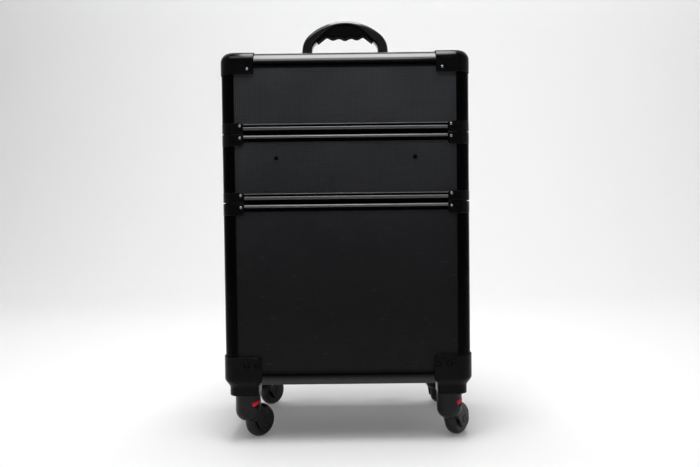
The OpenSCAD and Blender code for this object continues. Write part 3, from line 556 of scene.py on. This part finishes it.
class Look(Enum):
    """The finish of each of the record's material slots, and of a few nodes by themselves."""

    PANEL = DottedLaminate("textured_panel", (0.0052, 0.0054, 0.006), 0.42, specular=0.12)
    BOARD = Finish("floor_board", (0.012, 0.012, 0.013), 0.8, grain=1500.0)
    CASTING = Finish(
        "gloss_casting", (0.0008, 0.0008, 0.0009), 0.12,
        specular=0.15, grain=400.0, grain_depth=0.003 * MM,
    )
    RIVET = ZonedSteel("bright_steel", (0.2, 0.2, 0.205), 0.28, metallic=1.0)
    CHROME = DrawnMetal("chromed_tube", (0.72, 0.72, 0.74), 0.12, metallic=1.0, lines=(1, 1, 0.03))
    LATCH = DrawnMetal("latch_metal", (0.55, 0.55, 0.57), 0.28, metallic=1.0)
    RED = MouldedPlastic("red_button", (0.78, 0.015, 0.045), 0.45, specular=0.12, grain=1200.0)
    TREAD = RollingTread("wheel_tread", (0.005, 0.005, 0.0055), 0.42, specular=0.3)
    HOUSING = MouldedPlastic(
        "housing_plastic", (0.0012, 0.0012, 0.0014), 0.26, specular=0.08, grain_depth=0.01 * MM
    )
    PLASTIC = MouldedPlastic("matte_plastic", (0.0055, 0.0055, 0.006), 0.36, specular=0.2)
    GRIP = MouldedPlastic("soft_grip", (0.0016, 0.0016, 0.0018), 0.8, specular=0.05, grain=1600.0)
    HANDLE = Finish(
        "gloss_handle", (0.0008, 0.0008, 0.0009), 0.14,
        specular=0.55, grain=300.0, grain_depth=0.003 * MM,
    )
    TRAY = MouldedPlastic("tray_plastic", (0.014, 0.014, 0.015), 0.45)
    RAIL = BandedRail(
        "black_aluminium", (0.042, 0.042, 0.043), 0.16,
        metallic=1.0, lines=(0.04, 0.04, 1), grain_depth=0.0008 * MM,
    )
    SILL = ShadedSill(
        "black_aluminium_sill", (0.04, 0.04, 0.041), 0.2,
        metallic=1.0, lines=(0.04, 0.04, 1), grain_depth=0.002 * MM,
    )
    POST = DrawnMetal(
        "black_aluminium_post", (0.001, 0.001, 0.0011), 0.15,
        specular=0.03, lines=(1, 1, 0.04), grain_depth=0.002 * MM,
    )

    @classmethod
    def of_slot(cls, slot: str) -> "Look":
        """Returns the look whose finish has a slot's name."""
        return next(look for look in cls if look.value.name == slot)


# Modelling tools


class Bench:
    """Modelling moves, each on one object that is selected alone."""

    weld_distance: float = 0.004 * MM
    flat_angle: float = math.radians(0.5)
    level_error: float = 0.01 * MM
    face_error: float = 0.05 * MM
    rim_segments: int = 8
    sharp_degrees: float = 38.0

    @staticmethod
    def take(piece: Object) -> None:
        """Selects one object alone and makes it active.

        Args:
            piece: The object.
        """
        bpy.ops.object.select_all(action="DESELECT")
        piece.select_set(True)
        bpy.context.view_layer.objects.active = piece

    @staticmethod
    @contextmanager
    def editing(mode: str | None = None, whole: bool = True) -> Iterator[None]:
        """Keeps the active object in edit mode for the length of a with block.

        Args:
            mode: VERT, EDGE or FACE, where the move depends on it.
            whole: Whether all of the object is selected first.
        """
        bpy.ops.object.mode_set(mode="EDIT")
        if mode:
            bpy.ops.mesh.select_mode(type=mode)
        if whole:
            bpy.ops.mesh.select_all(action="SELECT")
        yield
        bpy.ops.object.mode_set(mode="OBJECT")

    @staticmethod
    def face(name: str, spots: Sequence[Sequence[float]]) -> Object:
        """Starts a piece with one filled face.

        Args:
            name: The new object's name.
            spots: The face's points, in order.

        Returns:
            The new object.
        """
        bpy.ops.object.select_all(action="DESELECT")
        bpy.ops.mesh.primitive_circle_add(vertices=len(spots), fill_type="NGON")
        piece = bpy.context.active_object
        piece.name = name
        for vertex, spot in zip(piece.data.vertices, spots):
            vertex.co = spot
        return piece

    @classmethod
    def modify(cls, piece: Object, kind: str, **settings: object) -> None:
        """Adds a modifier and applies it.

        Args:
            piece: The object.
            kind: The modifier's type.
            **settings: Its settings.
        """
        cls.take(piece)
        modifier = piece.modifiers.new(kind.title(), kind)
        for key, value in settings.items():
            setattr(modifier, key, value)
        bpy.ops.object.modifier_apply(modifier=modifier.name)

    @classmethod
    def smooth(cls, piece: Object, degrees: float) -> None:
        """Shades the faces smooth where they meet at less than an angle."""
        cls.take(piece)
        bpy.ops.object.shade_smooth_by_angle(angle=math.radians(degrees))

    @classmethod
    def copy_node(cls, node: Object, name: str) -> Object:
        """Copies a node's mesh into a new object, with its points and flat faces merged.

        Args:
            node: The node's object.
            name: The new object's name.

        Returns:
            The new object.
        """
        piece = cls.copy_to(node, name, Matrix())
        cls.take(piece)
        with cls.editing():
            bpy.ops.mesh.remove_doubles(threshold=cls.weld_distance)
            bpy.ops.mesh.dissolve_limited(angle_limit=cls.flat_angle)
        return piece

    @classmethod
    def ease(cls, piece: Object, width: float, segments: int = 2) -> None:
        """Rounds the sharp edges a little.

        Args:
            piece: The object.
            width: The width of the rounding.
            segments: The faces across it.
        """
        cls.modify(
            piece,
            "BEVEL",
            width=width,
            segments=segments,
            limit_method="ANGLE",
            angle_limit=math.radians(cls.sharp_degrees),
            use_clamp_overlap=False,
        )
        cls.smooth(piece, cls.sharp_degrees)
        cls.modify(piece, "WEIGHTED_NORMAL", keep_sharp=True)

    @classmethod
    def slab(cls, name: str, outline: Sequence[Span], low: float, high: float) -> Object:
        """Extrudes an outline drawn in X and Z along Y.

        Args:
            name: The new object's name.
            outline: The outline's points.
            low: Where it starts along Y.
            high: Where it ends along Y.

        Returns:
            The new object.
        """
        piece = cls.face(name, [(x, low, z) for x, z in outline])
        with cls.editing():
            bpy.ops.mesh.extrude_region_move(TRANSFORM_OT_translate={"value": (0, high - low, 0)})
            bpy.ops.mesh.select_all(action="SELECT")
            bpy.ops.mesh.normals_make_consistent(inside=False)
        return piece

    @classmethod
    def rod(cls, name: str, start: Vector, end: Vector, radius: float, sides: int) -> Object:
        """Makes a round rod between two points.

        Args:
            name: The new object's name.
            start: The centre of its first end.
            end: The centre of its other end.
            radius: Its radius.
            sides: The faces round it.

        Returns:
            The new object, with its place in its mesh.
        """
        bpy.ops.object.select_all(action="DESELECT")
        along = end - start
        bpy.ops.mesh.primitive_cylinder_add(
            vertices=sides,
            radius=radius,
            depth=along.length,
            location=(start + end) / 2,
            rotation=along.to_track_quat("Z", "Y").to_euler(),
        )
        piece = bpy.context.active_object
        piece.name = name
        bpy.ops.object.transform_apply(location=True, rotation=True, scale=True)
        return piece

    @classmethod
    def loft(cls, name: str, rings: Sequence[Sequence[Vector]]) -> Object:
        """Extrudes a face ring by ring, closed at both ends.

        Args:
            name: The new object's name.
            rings: Each ring's points, as many in each.

        Returns:
            The new object.
        """
        piece = cls.face(name, rings[0])
        for ring in rings[1:]:
            with cls.editing("FACE", whole=False):
                bpy.ops.mesh.extrude_region_move(TRANSFORM_OT_translate={"value": (0, 0, 0)})
            moved = [vertex for vertex in piece.data.vertices if vertex.select]
            for vertex, spot in zip(moved, ring):
                vertex.co = spot
        with cls.editing():
            bpy.ops.mesh.normals_make_consistent(inside=False)
        return piece

    @classmethod
    def keep_above(cls, piece: Object, height: float) -> None:
        """Cuts away all that lies under a height.

        Args:
            piece: The object.
            height: The cut's z.
        """
        cls.take(piece)
        with cls.editing():
            bpy.ops.mesh.bisect(
                plane_co=(0, 0, height), plane_no=(0, 0, 1), clear_inner=True, threshold=1e-6
            )

    @classmethod
    def join(cls, pieces: Sequence[Object]) -> Object:
        """Joins pieces into one.

        Args:
            pieces: The pieces.

        Returns:
            The first piece, which now holds all the others.
        """
        cls.take(pieces[0])
        for piece in pieces[1:]:
            piece.select_set(True)
        bpy.ops.object.join()
        return pieces[0]

    @classmethod
    def ease_rim(cls, piece: Object, height: float, width: float, outer: bool = False) -> None:
        """Rounds the edges that lie at one height.

        Args:
            piece: The object.
            height: The edges' z.
            width: The width of the rounding.
            outer: Whether only the edges on the outermost faces are rounded.
        """
        cls.take(piece)
        with cls.editing("EDGE", whole=False):
            bpy.ops.mesh.select_all(action="DESELECT")
        points = piece.data.vertices
        corners = [Vector(corner) for corner in piece.bound_box]
        centre = sum(corners, Vector()) / len(corners)
        reach = corners[6] - centre if outer else Vector()  # corner 6 is the highest on each axis
        for edge in piece.data.edges:
            spots = [points[i].co - centre for i in edge.vertices]
            level = all(abs(spot.z + centre.z - height) < cls.level_error for spot in spots)
            edge.select = level and any(
                all(abs(spot[axis]) > reach[axis] - cls.face_error for spot in spots)
                for axis in (0, 1)
            )
        with cls.editing(whole=False):
            bpy.ops.mesh.bevel(offset=width, segments=cls.rim_segments, affect="EDGES")

    @staticmethod
    def square_up(piece: Object, low: Vector, high: Vector, radius: float, tighter: float) -> None:
        """Tightens the rounding along the top edges of a box-shaped body.

        Args:
            piece: The object.
            low: The body's lowest corner.
            high: Its highest corner.
            radius: The rounding that the piece has.
            tighter: The rounding that it gets.
        """
        centre = (low + high) / 2
        core = (high - low) / 2 - Vector((radius, radius, 0))
        start = high.z - radius
        step = radius - tighter
        for vertex in piece.data.vertices:
            spot = vertex.co - centre
            out = Vector((max(abs(spot.x) - core.x, 0), max(abs(spot.y) - core.y, 0)))
            up = vertex.co.z - start
            if up <= 0 or out.length <= 0:
                continue
            turn = math.atan2(up, out.length)
            across, rise = math.cos(turn), math.sin(turn)
            slant = math.sqrt(tighter**2 - step**2 * (across - rise) ** 2)
            reach = step * (across + rise) + slant
            if min(across, rise) * reach < step:
                reach = radius / max(across, rise)
            gain = reach / radius - 1
            x, y = (math.copysign(far * gain, way) for far, way in zip(out, spot))
            vertex.co += Vector((x, y, up * gain))

    @classmethod
    def combine(cls, piece: Object, other: Object, operation: str) -> None:
        """Joins another solid to a piece or cuts it out, and removes the other.

        Args:
            piece: The piece.
            other: The other solid.
            operation: UNION or DIFFERENCE.
        """
        cls.modify(piece, "BOOLEAN", object=other, operation=operation, solver="EXACT")
        bpy.data.objects.remove(other)

    @classmethod
    def mould(cls, piece: Object, voxel: float, rounds: int) -> None:
        """Rounds all edges and fills the inner corners, as a mould does.

        Args:
            piece: The piece.
            voxel: The size of the new faces.
            rounds: How often the faces are evened out.
        """
        cls.modify(piece, "REMESH", mode="VOXEL", voxel_size=voxel)
        cls.modify(piece, "SMOOTH", factor=0.5, iterations=rounds)
        cls.smooth(piece, 50.0)

    @staticmethod
    def copy_to(piece: Object, name: str, place: Matrix) -> Object:
        """Copies a piece with its own mesh and puts it in its place.

        Args:
            piece: The piece.
            name: The copy's name.
            place: The move and turn that the mesh gets.

        Returns:
            The copy.
        """
        copy = bpy.data.objects.new(name, piece.data.copy())
        bpy.context.collection.objects.link(copy)
        copy.data.transform(place)
        return copy


# Studio


@dataclass(frozen=True)
class SoftBox:
    """A rectangular lamp that faces one point."""

    name: str
    spot: Triple
    aim: Triple
    size: Span
    watts: float

    def hang(self) -> None:
        """Adds the lamp to the scene."""
        data = bpy.data.lights.new(self.name, "AREA")
        data.shape = "RECTANGLE"
        data.size, data.size_y = self.size
        data.energy = self.watts
        lamp = bpy.data.objects.new(self.name, data)
        lamp.location = self.spot
        way = Vector(self.aim) - Vector(self.spot)
        lamp.rotation_euler = way.to_track_quat("-Z", "Y").to_euler()
        bpy.context.collection.objects.link(lamp)


@dataclass
class Studio:
    """White sweep, soft lamps and the camera of the photograph."""

    lens: float = 36.82
    sensor: float = 36.0
    spot: Vector = field(default_factory=lambda: Vector((9.7, -1161.0, 335.4)) * MM)
    pitch: float = -1.61
    roll: float = 0.68
    yaw: float = 0.26
    paper: Triple = (0.63, 0.63, 0.63 * 1.005)
    paper_roughness: float = 0.9
    paper_specular: float = 0.1
    lift: float = 0.14
    floor: float = 9.0
    floor_y: float = -3.0
    bend: float = 1.4
    bend_steps: int = 12
    wall: float = 3.0
    air: Triple = (0.95, 0.97, 1.0)
    air_rise: Span = (-0.1, 0.9)
    air_strength: Span = (0.04, 0.8)
    lamps: tuple[SoftBox, ...] = (
        SoftBox("top_box", (0.0, -0.25, 2.05), (0.0, -0.2, 0.0), (0.75, 1.2), 43.0),
        SoftBox("front_box", (-0.4, -1.15, 2.1), (0.0, 0.0, 0.35), (1.6, 0.8), 16.0),
        SoftBox("wall_wash", (0.5, 0.9, 2.4), (0.5, 3.0, 0.9), (5.0, 0.8), 72.0),
    )

    def build(self) -> None:
        """Makes the sweep, the world, the lamps and the camera."""
        self._sweep()
        self._world()
        for lamp in self.lamps:
            lamp.hang()
        self._camera()

    def _sweep(self) -> None:
        """Makes a floor that curves up into a backdrop."""
        bpy.ops.mesh.primitive_plane_add(size=self.floor, location=(0, self.floor_y, 0))
        sweep = bpy.context.active_object
        sweep.name = "studio_sweep"
        steps = self.bend_steps
        length = self.bend * math.pi / 2 / steps
        turns = [math.radians(90 * (step + 0.5) / steps) for step in range(steps)]
        moves = [(0, length * math.cos(turn), length * math.sin(turn)) for turn in turns]
        for move in (*moves, (0, MM, self.wall)):
            points = sweep.data.vertices
            back = max(point.co.y for point in points) - MM
            high = max(point.co.z for point in points) - MM
            for edge in sweep.data.edges:
                spots = [points[i].co for i in edge.vertices]
                edge.select = all(spot.y > back and spot.z > high for spot in spots)
            with Bench.editing("EDGE", whole=False):
                bpy.ops.mesh.extrude_region_move(TRANSFORM_OT_translate={"value": move})
        Bench.smooth(sweep, 60.0)
        sweep.data.materials.append(self._paper())

    def _paper(self) -> Material:
        """Makes white paper that the lens sees as a little brighter than it is lit.

        Returns:
            The paper's material.
        """
        sheet = NodeSheet(bpy.data.materials.new("studio_paper"))
        sheet.set("Base Color", self.paper)
        sheet.set("Roughness", self.paper_roughness)
        sheet.set("Specular IOR Level", self.paper_specular)
        rays = sheet.add("ShaderNodeLightPath").outputs
        kinds = ("Is Camera Ray", "Is Glossy Ray", "Is Transmission Ray")
        seen = sum(Signal(sheet, rays[kind]) for kind in kinds)
        sheet.set("Emission Color", sheet.blend(seen, (0, 0, 0), (self.lift,) * 3))
        sheet.set("Emission Strength", 1.0)
        return sheet.owner

    def _world(self) -> None:
        """Makes a studio that is bright behind the case and dark behind the camera."""
        sheet = NodeSheet(bpy.data.worlds.new("studio_air"), "Background")
        _, depth, _ = sheet.split(sheet.add("ShaderNodeTexCoord").outputs["Generated"])
        sheet.set("Strength", depth.between(*self.air_rise, *self.air_strength))
        sheet.set("Color", self.air)
        bpy.context.scene.world = sheet.owner

    def _camera(self) -> None:
        """Puts the camera where the photograph was taken from."""
        data = bpy.data.cameras.new("photo_camera")
        data.lens = self.lens
        data.sensor_width = self.sensor
        camera = bpy.data.objects.new("photo_camera", data)
        yaw = Matrix.Rotation(math.radians(self.yaw), 4, "Z")
        pitch = Matrix.Rotation(math.radians(90 + self.pitch), 4, "X")
        roll = Matrix.Rotation(math.radians(-self.roll), 4, "Z")
        camera.matrix_world = Matrix.Translation(self.spot) @ (yaw @ pitch) @ roll
        bpy.context.collection.objects.link(camera)
        bpy.context.scene.camera = camera


# Casters and their housings


@dataclass
class HousingCup:
    """The cup under one corner that holds a caster's pin.

    Its outline shrinks in a smooth curve from the wrap-round plates to the straight block.
    """

    corner: Vector
    side: tuple[int, int]
    outer: float = 22 * MM
    width: float = 57 * MM
    top: float = 95.2 * MM
    waist: float = 81 * MM
    bottom: float = 70 * MM
    foot: float = 2.6 * MM
    foot_round: float = 1 * MM
    out_draw: float = 7.5 * MM
    in_draw: float = 6 * MM
    plate_round: float = 0.6 * MM
    block_round: float = 9 * MM
    steps: int = 12

    def build(self) -> Object:
        """Models the cup.

        Returns:
            The cup.
        """
        rings = []
        for step in range(self.steps + 1):
            t = step / self.steps
            z = self.top + (self.waist - self.top) * t
            rings.append(self._ring(z, t * t * (3 - 2 * t), 0))
        rings.append(self._ring(self.bottom + self.foot, 1, 0))
        for degrees in (0, 30, 60, 90):
            turn = math.radians(degrees)
            lift = self.foot_round * (1 - math.sin(turn))
            draw = self.foot_round * (1 - math.cos(turn))
            rings.append(self._ring(self.bottom + lift, 1, draw))
        cup = Bench.loft("cup", rings)
        Bench.smooth(cup, 50.0)
        return cup

    def _ring(self, z: float, taper: float, draw: float) -> list[Vector]:
        """Draws the outline at one height.

        Args:
            z: The height.
            taper: 0 at the plates and 1 at the block.
            draw: How much the whole outline is drawn in.

        Returns:
            The outline's points.
        """
        far = self.outer - self.out_draw * taper - draw
        near = self.outer - self.width + self.in_draw * taper + draw
        inner_round = self.plate_round + self.block_round * taper
        rounds = (far, inner_round, inner_round, inner_round)
        corners = ((far, far), (near, far), (near, near), (far, near))
        points = []
        for number, ((x, y), r) in enumerate(zip(corners, rounds)):
            centre = (x - math.copysign(r, x), y - math.copysign(r, y))
            for step in range(self.steps + 1):
                turn = math.radians(90 * number + 90 * step / self.steps)
                points.append((centre[0] + r * math.cos(turn), centre[1] + r * math.sin(turn)))
        return [self.corner + Vector((self.side[0] * x, self.side[1] * y, z)) for x, y in points]


@dataclass
class CasterFork:
    """The moulded fork of a caster: a round neck that flows into two arms.

    It is drawn round the swivel axis, with the wheel towards +X, and then copied to each corner.
    Each of the axle's end caps follows cap_profile: its radius at a share of the cap's height.
    """

    wheel_radius: float
    trail: float
    neck_top: float
    neck_radius: float = 18.6 * MM
    neck_sides: int = 96
    arm_half: float = 14.5 * MM
    well_half: float = 10.75 * MM
    well_gap: float = 2.1 * MM
    well_sides: int = 128
    boss_shift: Span = (0.5 * MM, 1 * MM)
    boss_radius: float = 12.5 * MM
    boss_sweep: tuple[float, float, int] = (230, 388, 24)
    crest: Span = (9.5 * MM, 46 * MM)
    crest_radius: float = 5.5 * MM
    crest_sweep: tuple[float, float, int] = (28, 90, 8)
    skirt: float = 4 * MM
    skirt_round: float = 16 * MM
    lip: float = 4 * MM
    edge_steps: int = 12
    button_z: float = 56.4 * MM
    slot: Triple = (14 * MM, 6 * MM, 9 * MM)
    slot_tilt: float = 14.0
    thumb_radius: float = 5 * MM
    thumb_depth: float = 2 * MM
    thumb_sides: int = 48
    cap_height: float = 0.8 * MM
    cap_profile: tuple[Span, ...] = (
        (6.7 * MM, 0.2), (5.9 * MM, 1.0), (2.1 * MM, 1.0), (1.5 * MM, 0.3)
    )
    cap_sides: int = 48
    voxel: float = 0.6 * MM
    smoothing: int = 8

    def build(self) -> Object:
        """Models the fork once.

        Returns:
            The fork in its own frame.
        """
        fork = Bench.slab("fork_pattern", self._profile(), -self.arm_half, self.arm_half)
        low, high = Vector((0, 0, self.skirt_z)), Vector((0, 0, self.neck_top))
        neck = Bench.rod("neck", low, high, self.neck_radius, self.neck_sides)
        Bench.ease_rim(neck, self.skirt_z, self.skirt_round)
        Bench.combine(fork, neck, "UNION")
        hub = Vector((self.trail, 0, self.wheel_radius))
        side = Vector((0, self.well_half, 0))
        radius = self.wheel_radius + self.well_gap
        well = Bench.rod("well", hub - side, hub + side, radius, self.well_sides)
        Bench.combine(fork, well, "DIFFERENCE")
        Bench.mould(fork, self.voxel, self.smoothing)
        for cutter in self._button_cutters():
            Bench.combine(fork, cutter, "DIFFERENCE")
        Bench.smooth(fork, 40.0)
        return Bench.join([fork, self._axle_end(1), self._axle_end(-1)])

    @property
    def skirt_z(self) -> float:
        """The height of the neck's lower edge."""
        return self.wheel_radius + self.skirt

    def _button_cutters(self) -> list[Object]:
        """Makes the button's slot and the half-round thumb recess under it.

        Returns:
            The solids to cut out of the neck's -Y side.
        """
        width, height, depth = self.slot
        face = -self.neck_radius
        outside = face - 2 * depth
        signs = ((-1, -1), (1, -1), (1, 1), (-1, 1))
        corners = [(x * width / 2, z * height / 2) for x, z in signs]
        slot = Bench.slab("button_slot", corners, outside, face + depth)
        inner = Vector((0, face + self.thumb_depth, -height / 2))
        outer = Vector((0, outside, -height / 2))
        thumb = Bench.rod("thumb_recess", inner, outer, self.thumb_radius, self.thumb_sides)
        tilt = Matrix.Rotation(math.radians(-self.slot_tilt), 4, "Y")
        for cutter in (slot, thumb):
            cutter.data.transform(Matrix.Translation((0, 0, self.button_z)) @ tilt)
        return [slot, thumb]

    def _axle_end(self, side: int) -> Object:
        """Models the domed end of the axle with its small dimple.

        Args:
            side: 1 for the +Y arm and -1 for the other.

        Returns:
            The axle's end.
        """
        face = side * self.arm_half
        lift = side * self.cap_height
        rings = [self._circle(self.cap_profile[0][0], face - side * MM)]
        rings += [self._circle(radius, face + lift * share) for radius, share in self.cap_profile]
        return Bench.loft("axle_end", rings)

    def _circle(self, radius: float, y: float) -> list[Vector]:
        """Draws a circle about the wheel's axis.

        Args:
            radius: The circle's radius.
            y: Its place along the axis.

        Returns:
            The circle's points.
        """
        turns = [math.tau * step / self.cap_sides for step in range(self.cap_sides)]
        x, z = self.trail, self.wheel_radius
        return [Vector((x + radius * math.cos(a), y, z + radius * math.sin(a))) for a in turns]

    def _profile(self) -> list[Span]:
        """Draws the side outline: crest, boss and the curved lower edge.

        Returns:
            The outline's points, anticlockwise.
        """
        boss = (self.trail - self.boss_shift[0], self.wheel_radius - self.boss_shift[1])
        points = self._arc(boss, self.boss_radius, *self.boss_sweep)
        points += self._arc(self.crest, self.crest_radius, *self.crest_sweep)
        back = -self.neck_radius + self.skirt_round + self.lip
        points += [(back, self.crest[1] + self.crest_radius), (back, self.skirt_z)]
        start = Vector((back + MM, self.skirt_z))
        end = Vector(points[0])
        heel_pull = Vector((5.5, -1.5)) * MM
        boss_pull = Vector((0.766, -0.643)) * 9 * MM
        for step in range(1, self.edge_steps):
            t = step / self.edge_steps
            spot = (
                start * (1 - t) ** 3
                + (start + heel_pull) * 3 * t * (1 - t) ** 2
                + (end - boss_pull) * 3 * t * t * (1 - t)
                + end * t**3
            )
            points.append(tuple(spot))
        return points

    @staticmethod
    def _arc(centre: Span, radius: float, start: float, end: float, steps: int) -> list[Span]:
        """Draws an arc.

        Args:
            centre: The arc's centre.
            radius: Its radius.
            start: Its first angle in degrees.
            end: Its last angle in degrees.
            steps: The number of steps.

        Returns:
            The arc's points.
        """
        turns = [math.radians(start + (end - start) * step / steps) for step in range(steps + 1)]
        return [(centre[0] + radius * math.cos(a), centre[1] + radius * math.sin(a)) for a in turns]


# The whole case


@dataclass
class CaseLooks:
    """Dresses every node of the case and adds the finer pieces.

    Each group in eased has the width of its nodes' rounded edges, each row in moulded a node with
    the voxel size and the rounds of smoothing that it gets.
    """

    frame: dict
    corner_radius: float = 20 * MM
    tightened: dict[str, float] = field(
        default_factory=lambda: {"top_edge_rails": 18 * MM, "top_corner_caps": 13.5 * MM}
    )
    tongued: tuple[str, str] = ("lower_rim", "middle_top_rim")
    grooved: tuple[str, str] = ("middle_bottom_rim", "top_rim")
    tongue_height: float = 4.4 * MM
    groove_half: float = 2.8 * MM
    band_height: float = 6.1 * MM
    low_band_round: float = 2.6 * MM
    high_band_round: float = 1.0 * MM
    housing_round: float = 0.9 * MM
    moulded: tuple[tuple[str, float, int], ...] = (
        ("handle_arch", 0.8 * MM, 24),
        ("handle_grip", 0.6 * MM, 5),
        ("trolley_grip", 0.8 * MM, 4),
    )
    eased: tuple[tuple[float, tuple[str, ...]], ...] = (
        (0.7 * MM, ("lower_rim_castings", "middle_rim_castings", "top_rim_castings")),
        (0.6 * MM, ("top_corner_caps",)),
        (0.35 * MM, ("top_edge_rails", "lower_base_rails", "lower_rim", "middle_bottom_rim")),
        (0.35 * MM, ("middle_top_rim", "top_rim")),
        (0.6 * MM, ("handle_brackets", "trolley_button")),
        (0.8 * MM, ("trolley_brackets",)),
        (0.5 * MM, ("tray",)),
        (0.3 * MM, ("lower_latch_plates", "middle_latch_plates", "middle_keepers", "top_keepers")),
        (0.3 * MM, ("latch_lower_left", "latch_lower_right")),
        (0.3 * MM, ("latch_upper_left", "latch_upper_right")),
        (0.4 * MM, tuple(f"button_{corner}" for corner in CORNERS)),
        (0.5 * MM, tuple(f"wheel_{corner}" for corner in CORNERS)),
    )
    own_looks: dict[str, Look] = field(
        default_factory=lambda: {
            "caster_housings": Look.HOUSING,
            "lower_base_rails": Look.SILL,
            **{f"{tier}_posts": Look.POST for tier in ("lower", "middle", "top")},
        }
    )

    def __post_init__(self) -> None:
        """Looks up each node's slot and body."""
        record = self.frame["record"]
        bodies = record["behaviour"]["bodies"]
        self.slots = {part["node"]: part["material_slot"] for part in record["subparts"]}
        self.bodies = {node: body for body, nodes in bodies.items() for node in nodes}

    def dress_nodes(self) -> None:
        """Gives each node its finish."""
        for name, slot in self.slots.items():
            self._paint(self.frame["nodes"][name], name)
            LOG.info("%s wears %s", name, slot)

    def look_of(self, node: str) -> Look:
        """Returns a node's own look, or else that of its slot."""
        return self.own_looks.get(node) or Look.of_slot(self.slots[node])

    def _paint(self, piece: Object, node: str) -> None:
        """Gives a piece the finish of a node."""
        piece.data.materials.clear()
        piece.data.materials.append(self.look_of(node).value.material())

    def settle(self, piece: Object, node: str) -> None:
        """Lets a piece stand for a node, with its body and finish.

        Args:
            piece: The finished piece.
            node: The node that it stands for.
        """
        self._paint(piece, node)
        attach(piece, self.bodies[node])
        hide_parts(node)
        LOG.info("%s stands for %s: %d faces", piece.name, node, len(piece.data.polygons))

    def mould_handles(self) -> None:
        """Moulds both handles' plastic parts from their nodes."""
        for node, voxel, rounds in self.moulded:
            piece = Bench.copy_node(self.frame["nodes"][node], node + "_moulded")
            Bench.mould(piece, voxel, rounds)
            self.settle(piece, node)

    def fit_housings(self) -> None:
        """Models the four housings: the node's own plates over smoothly drawn cups."""
        node = "caster_housings"
        plates = Bench.copy_node(self.frame["nodes"][node], node + "_moulded")
        Bench.keep_above(plates, HousingCup.top)
        Bench.ease(plates, self.housing_round, 3)
        low, high = (Vector(corner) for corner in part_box(node))
        middle, reach = (low + high) / 2, (high - low) / 2
        pieces = [plates]
        for side in ((-1, -1), (1, -1), (-1, 1), (1, 1)):
            x, y = (middle[i] + side[i] * (reach[i] - HousingCup.outer) for i in (0, 1))
            pieces.append(HousingCup(Vector((x, y, 0)), side).build())
        self.settle(Bench.join(pieces), node)

    def fit_forks(self) -> None:
        """Models one fork and copies it to the four casters."""
        joints = {joint["name"]: joint for joint in self.frame["joints"]}
        pattern = None
        for corner in CORNERS:
            node = f"fork_{corner}"
            axis = Vector(joints[f"{node}_swivel"]["pos_m"])
            hub = Vector(joints[f"wheel_{corner}_roll"]["pos_m"])
            arm = (hub - axis).to_2d()
            pattern = pattern or CasterFork(hub.z, arm.length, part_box(node)[1][2]).build()
            turn = Matrix.Rotation(math.atan2(arm.y, arm.x), 4, "Z")
            place = Matrix.Translation((axis.x, axis.y, 0)) @ turn
            self.settle(Bench.copy_to(pattern, f"{node}_moulded", place), node)
        bpy.data.objects.remove(pattern)

    def ease_nodes(self) -> None:
        """Gives the cast, drawn and moulded parts their softened edges."""
        low, high = (Vector(corner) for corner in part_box("top_edge_rails"))
        for width, nodes in self.eased:
            for node in nodes:
                piece = Bench.copy_node(self.frame["nodes"][node], node + "_eased")
                if node in self.tightened:
                    Bench.square_up(piece, low, high, self.corner_radius, self.tightened[node])
                self._round_band(piece, node)
                Bench.ease(piece, width)
                self.settle(piece, node)

    def _round_band(self, piece: Object, node: str) -> None:
        """Rounds the outer edge of a rim's band, next to its tongue or groove.

        Args:
            piece: The piece, which stays as it is unless it is a rim.
            node: The node that it stands for.
        """
        if node in self.tongued:
            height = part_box(node)[1][2] - self.tongue_height - self.groove_half
            Bench.ease_rim(piece, height, self.low_band_round, True)
        if node in self.grooved:
            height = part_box(node)[0][2] + self.groove_half + self.band_height
            Bench.ease_rim(piece, height, self.high_band_round, True)


def main() -> None:
    """Builds the looks in order."""
    logging.basicConfig(level=logging.INFO, format="%(name)s: %(message)s")
    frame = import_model()
    bpy.context.scene.view_settings.view_transform = "Standard"
    case = CaseLooks(frame)
    case.dress_nodes()
    case.ease_nodes()
    case.mould_handles()
    case.fit_housings()
    case.fit_forks()
    Studio().build()


if __name__ == "__main__":
    main()
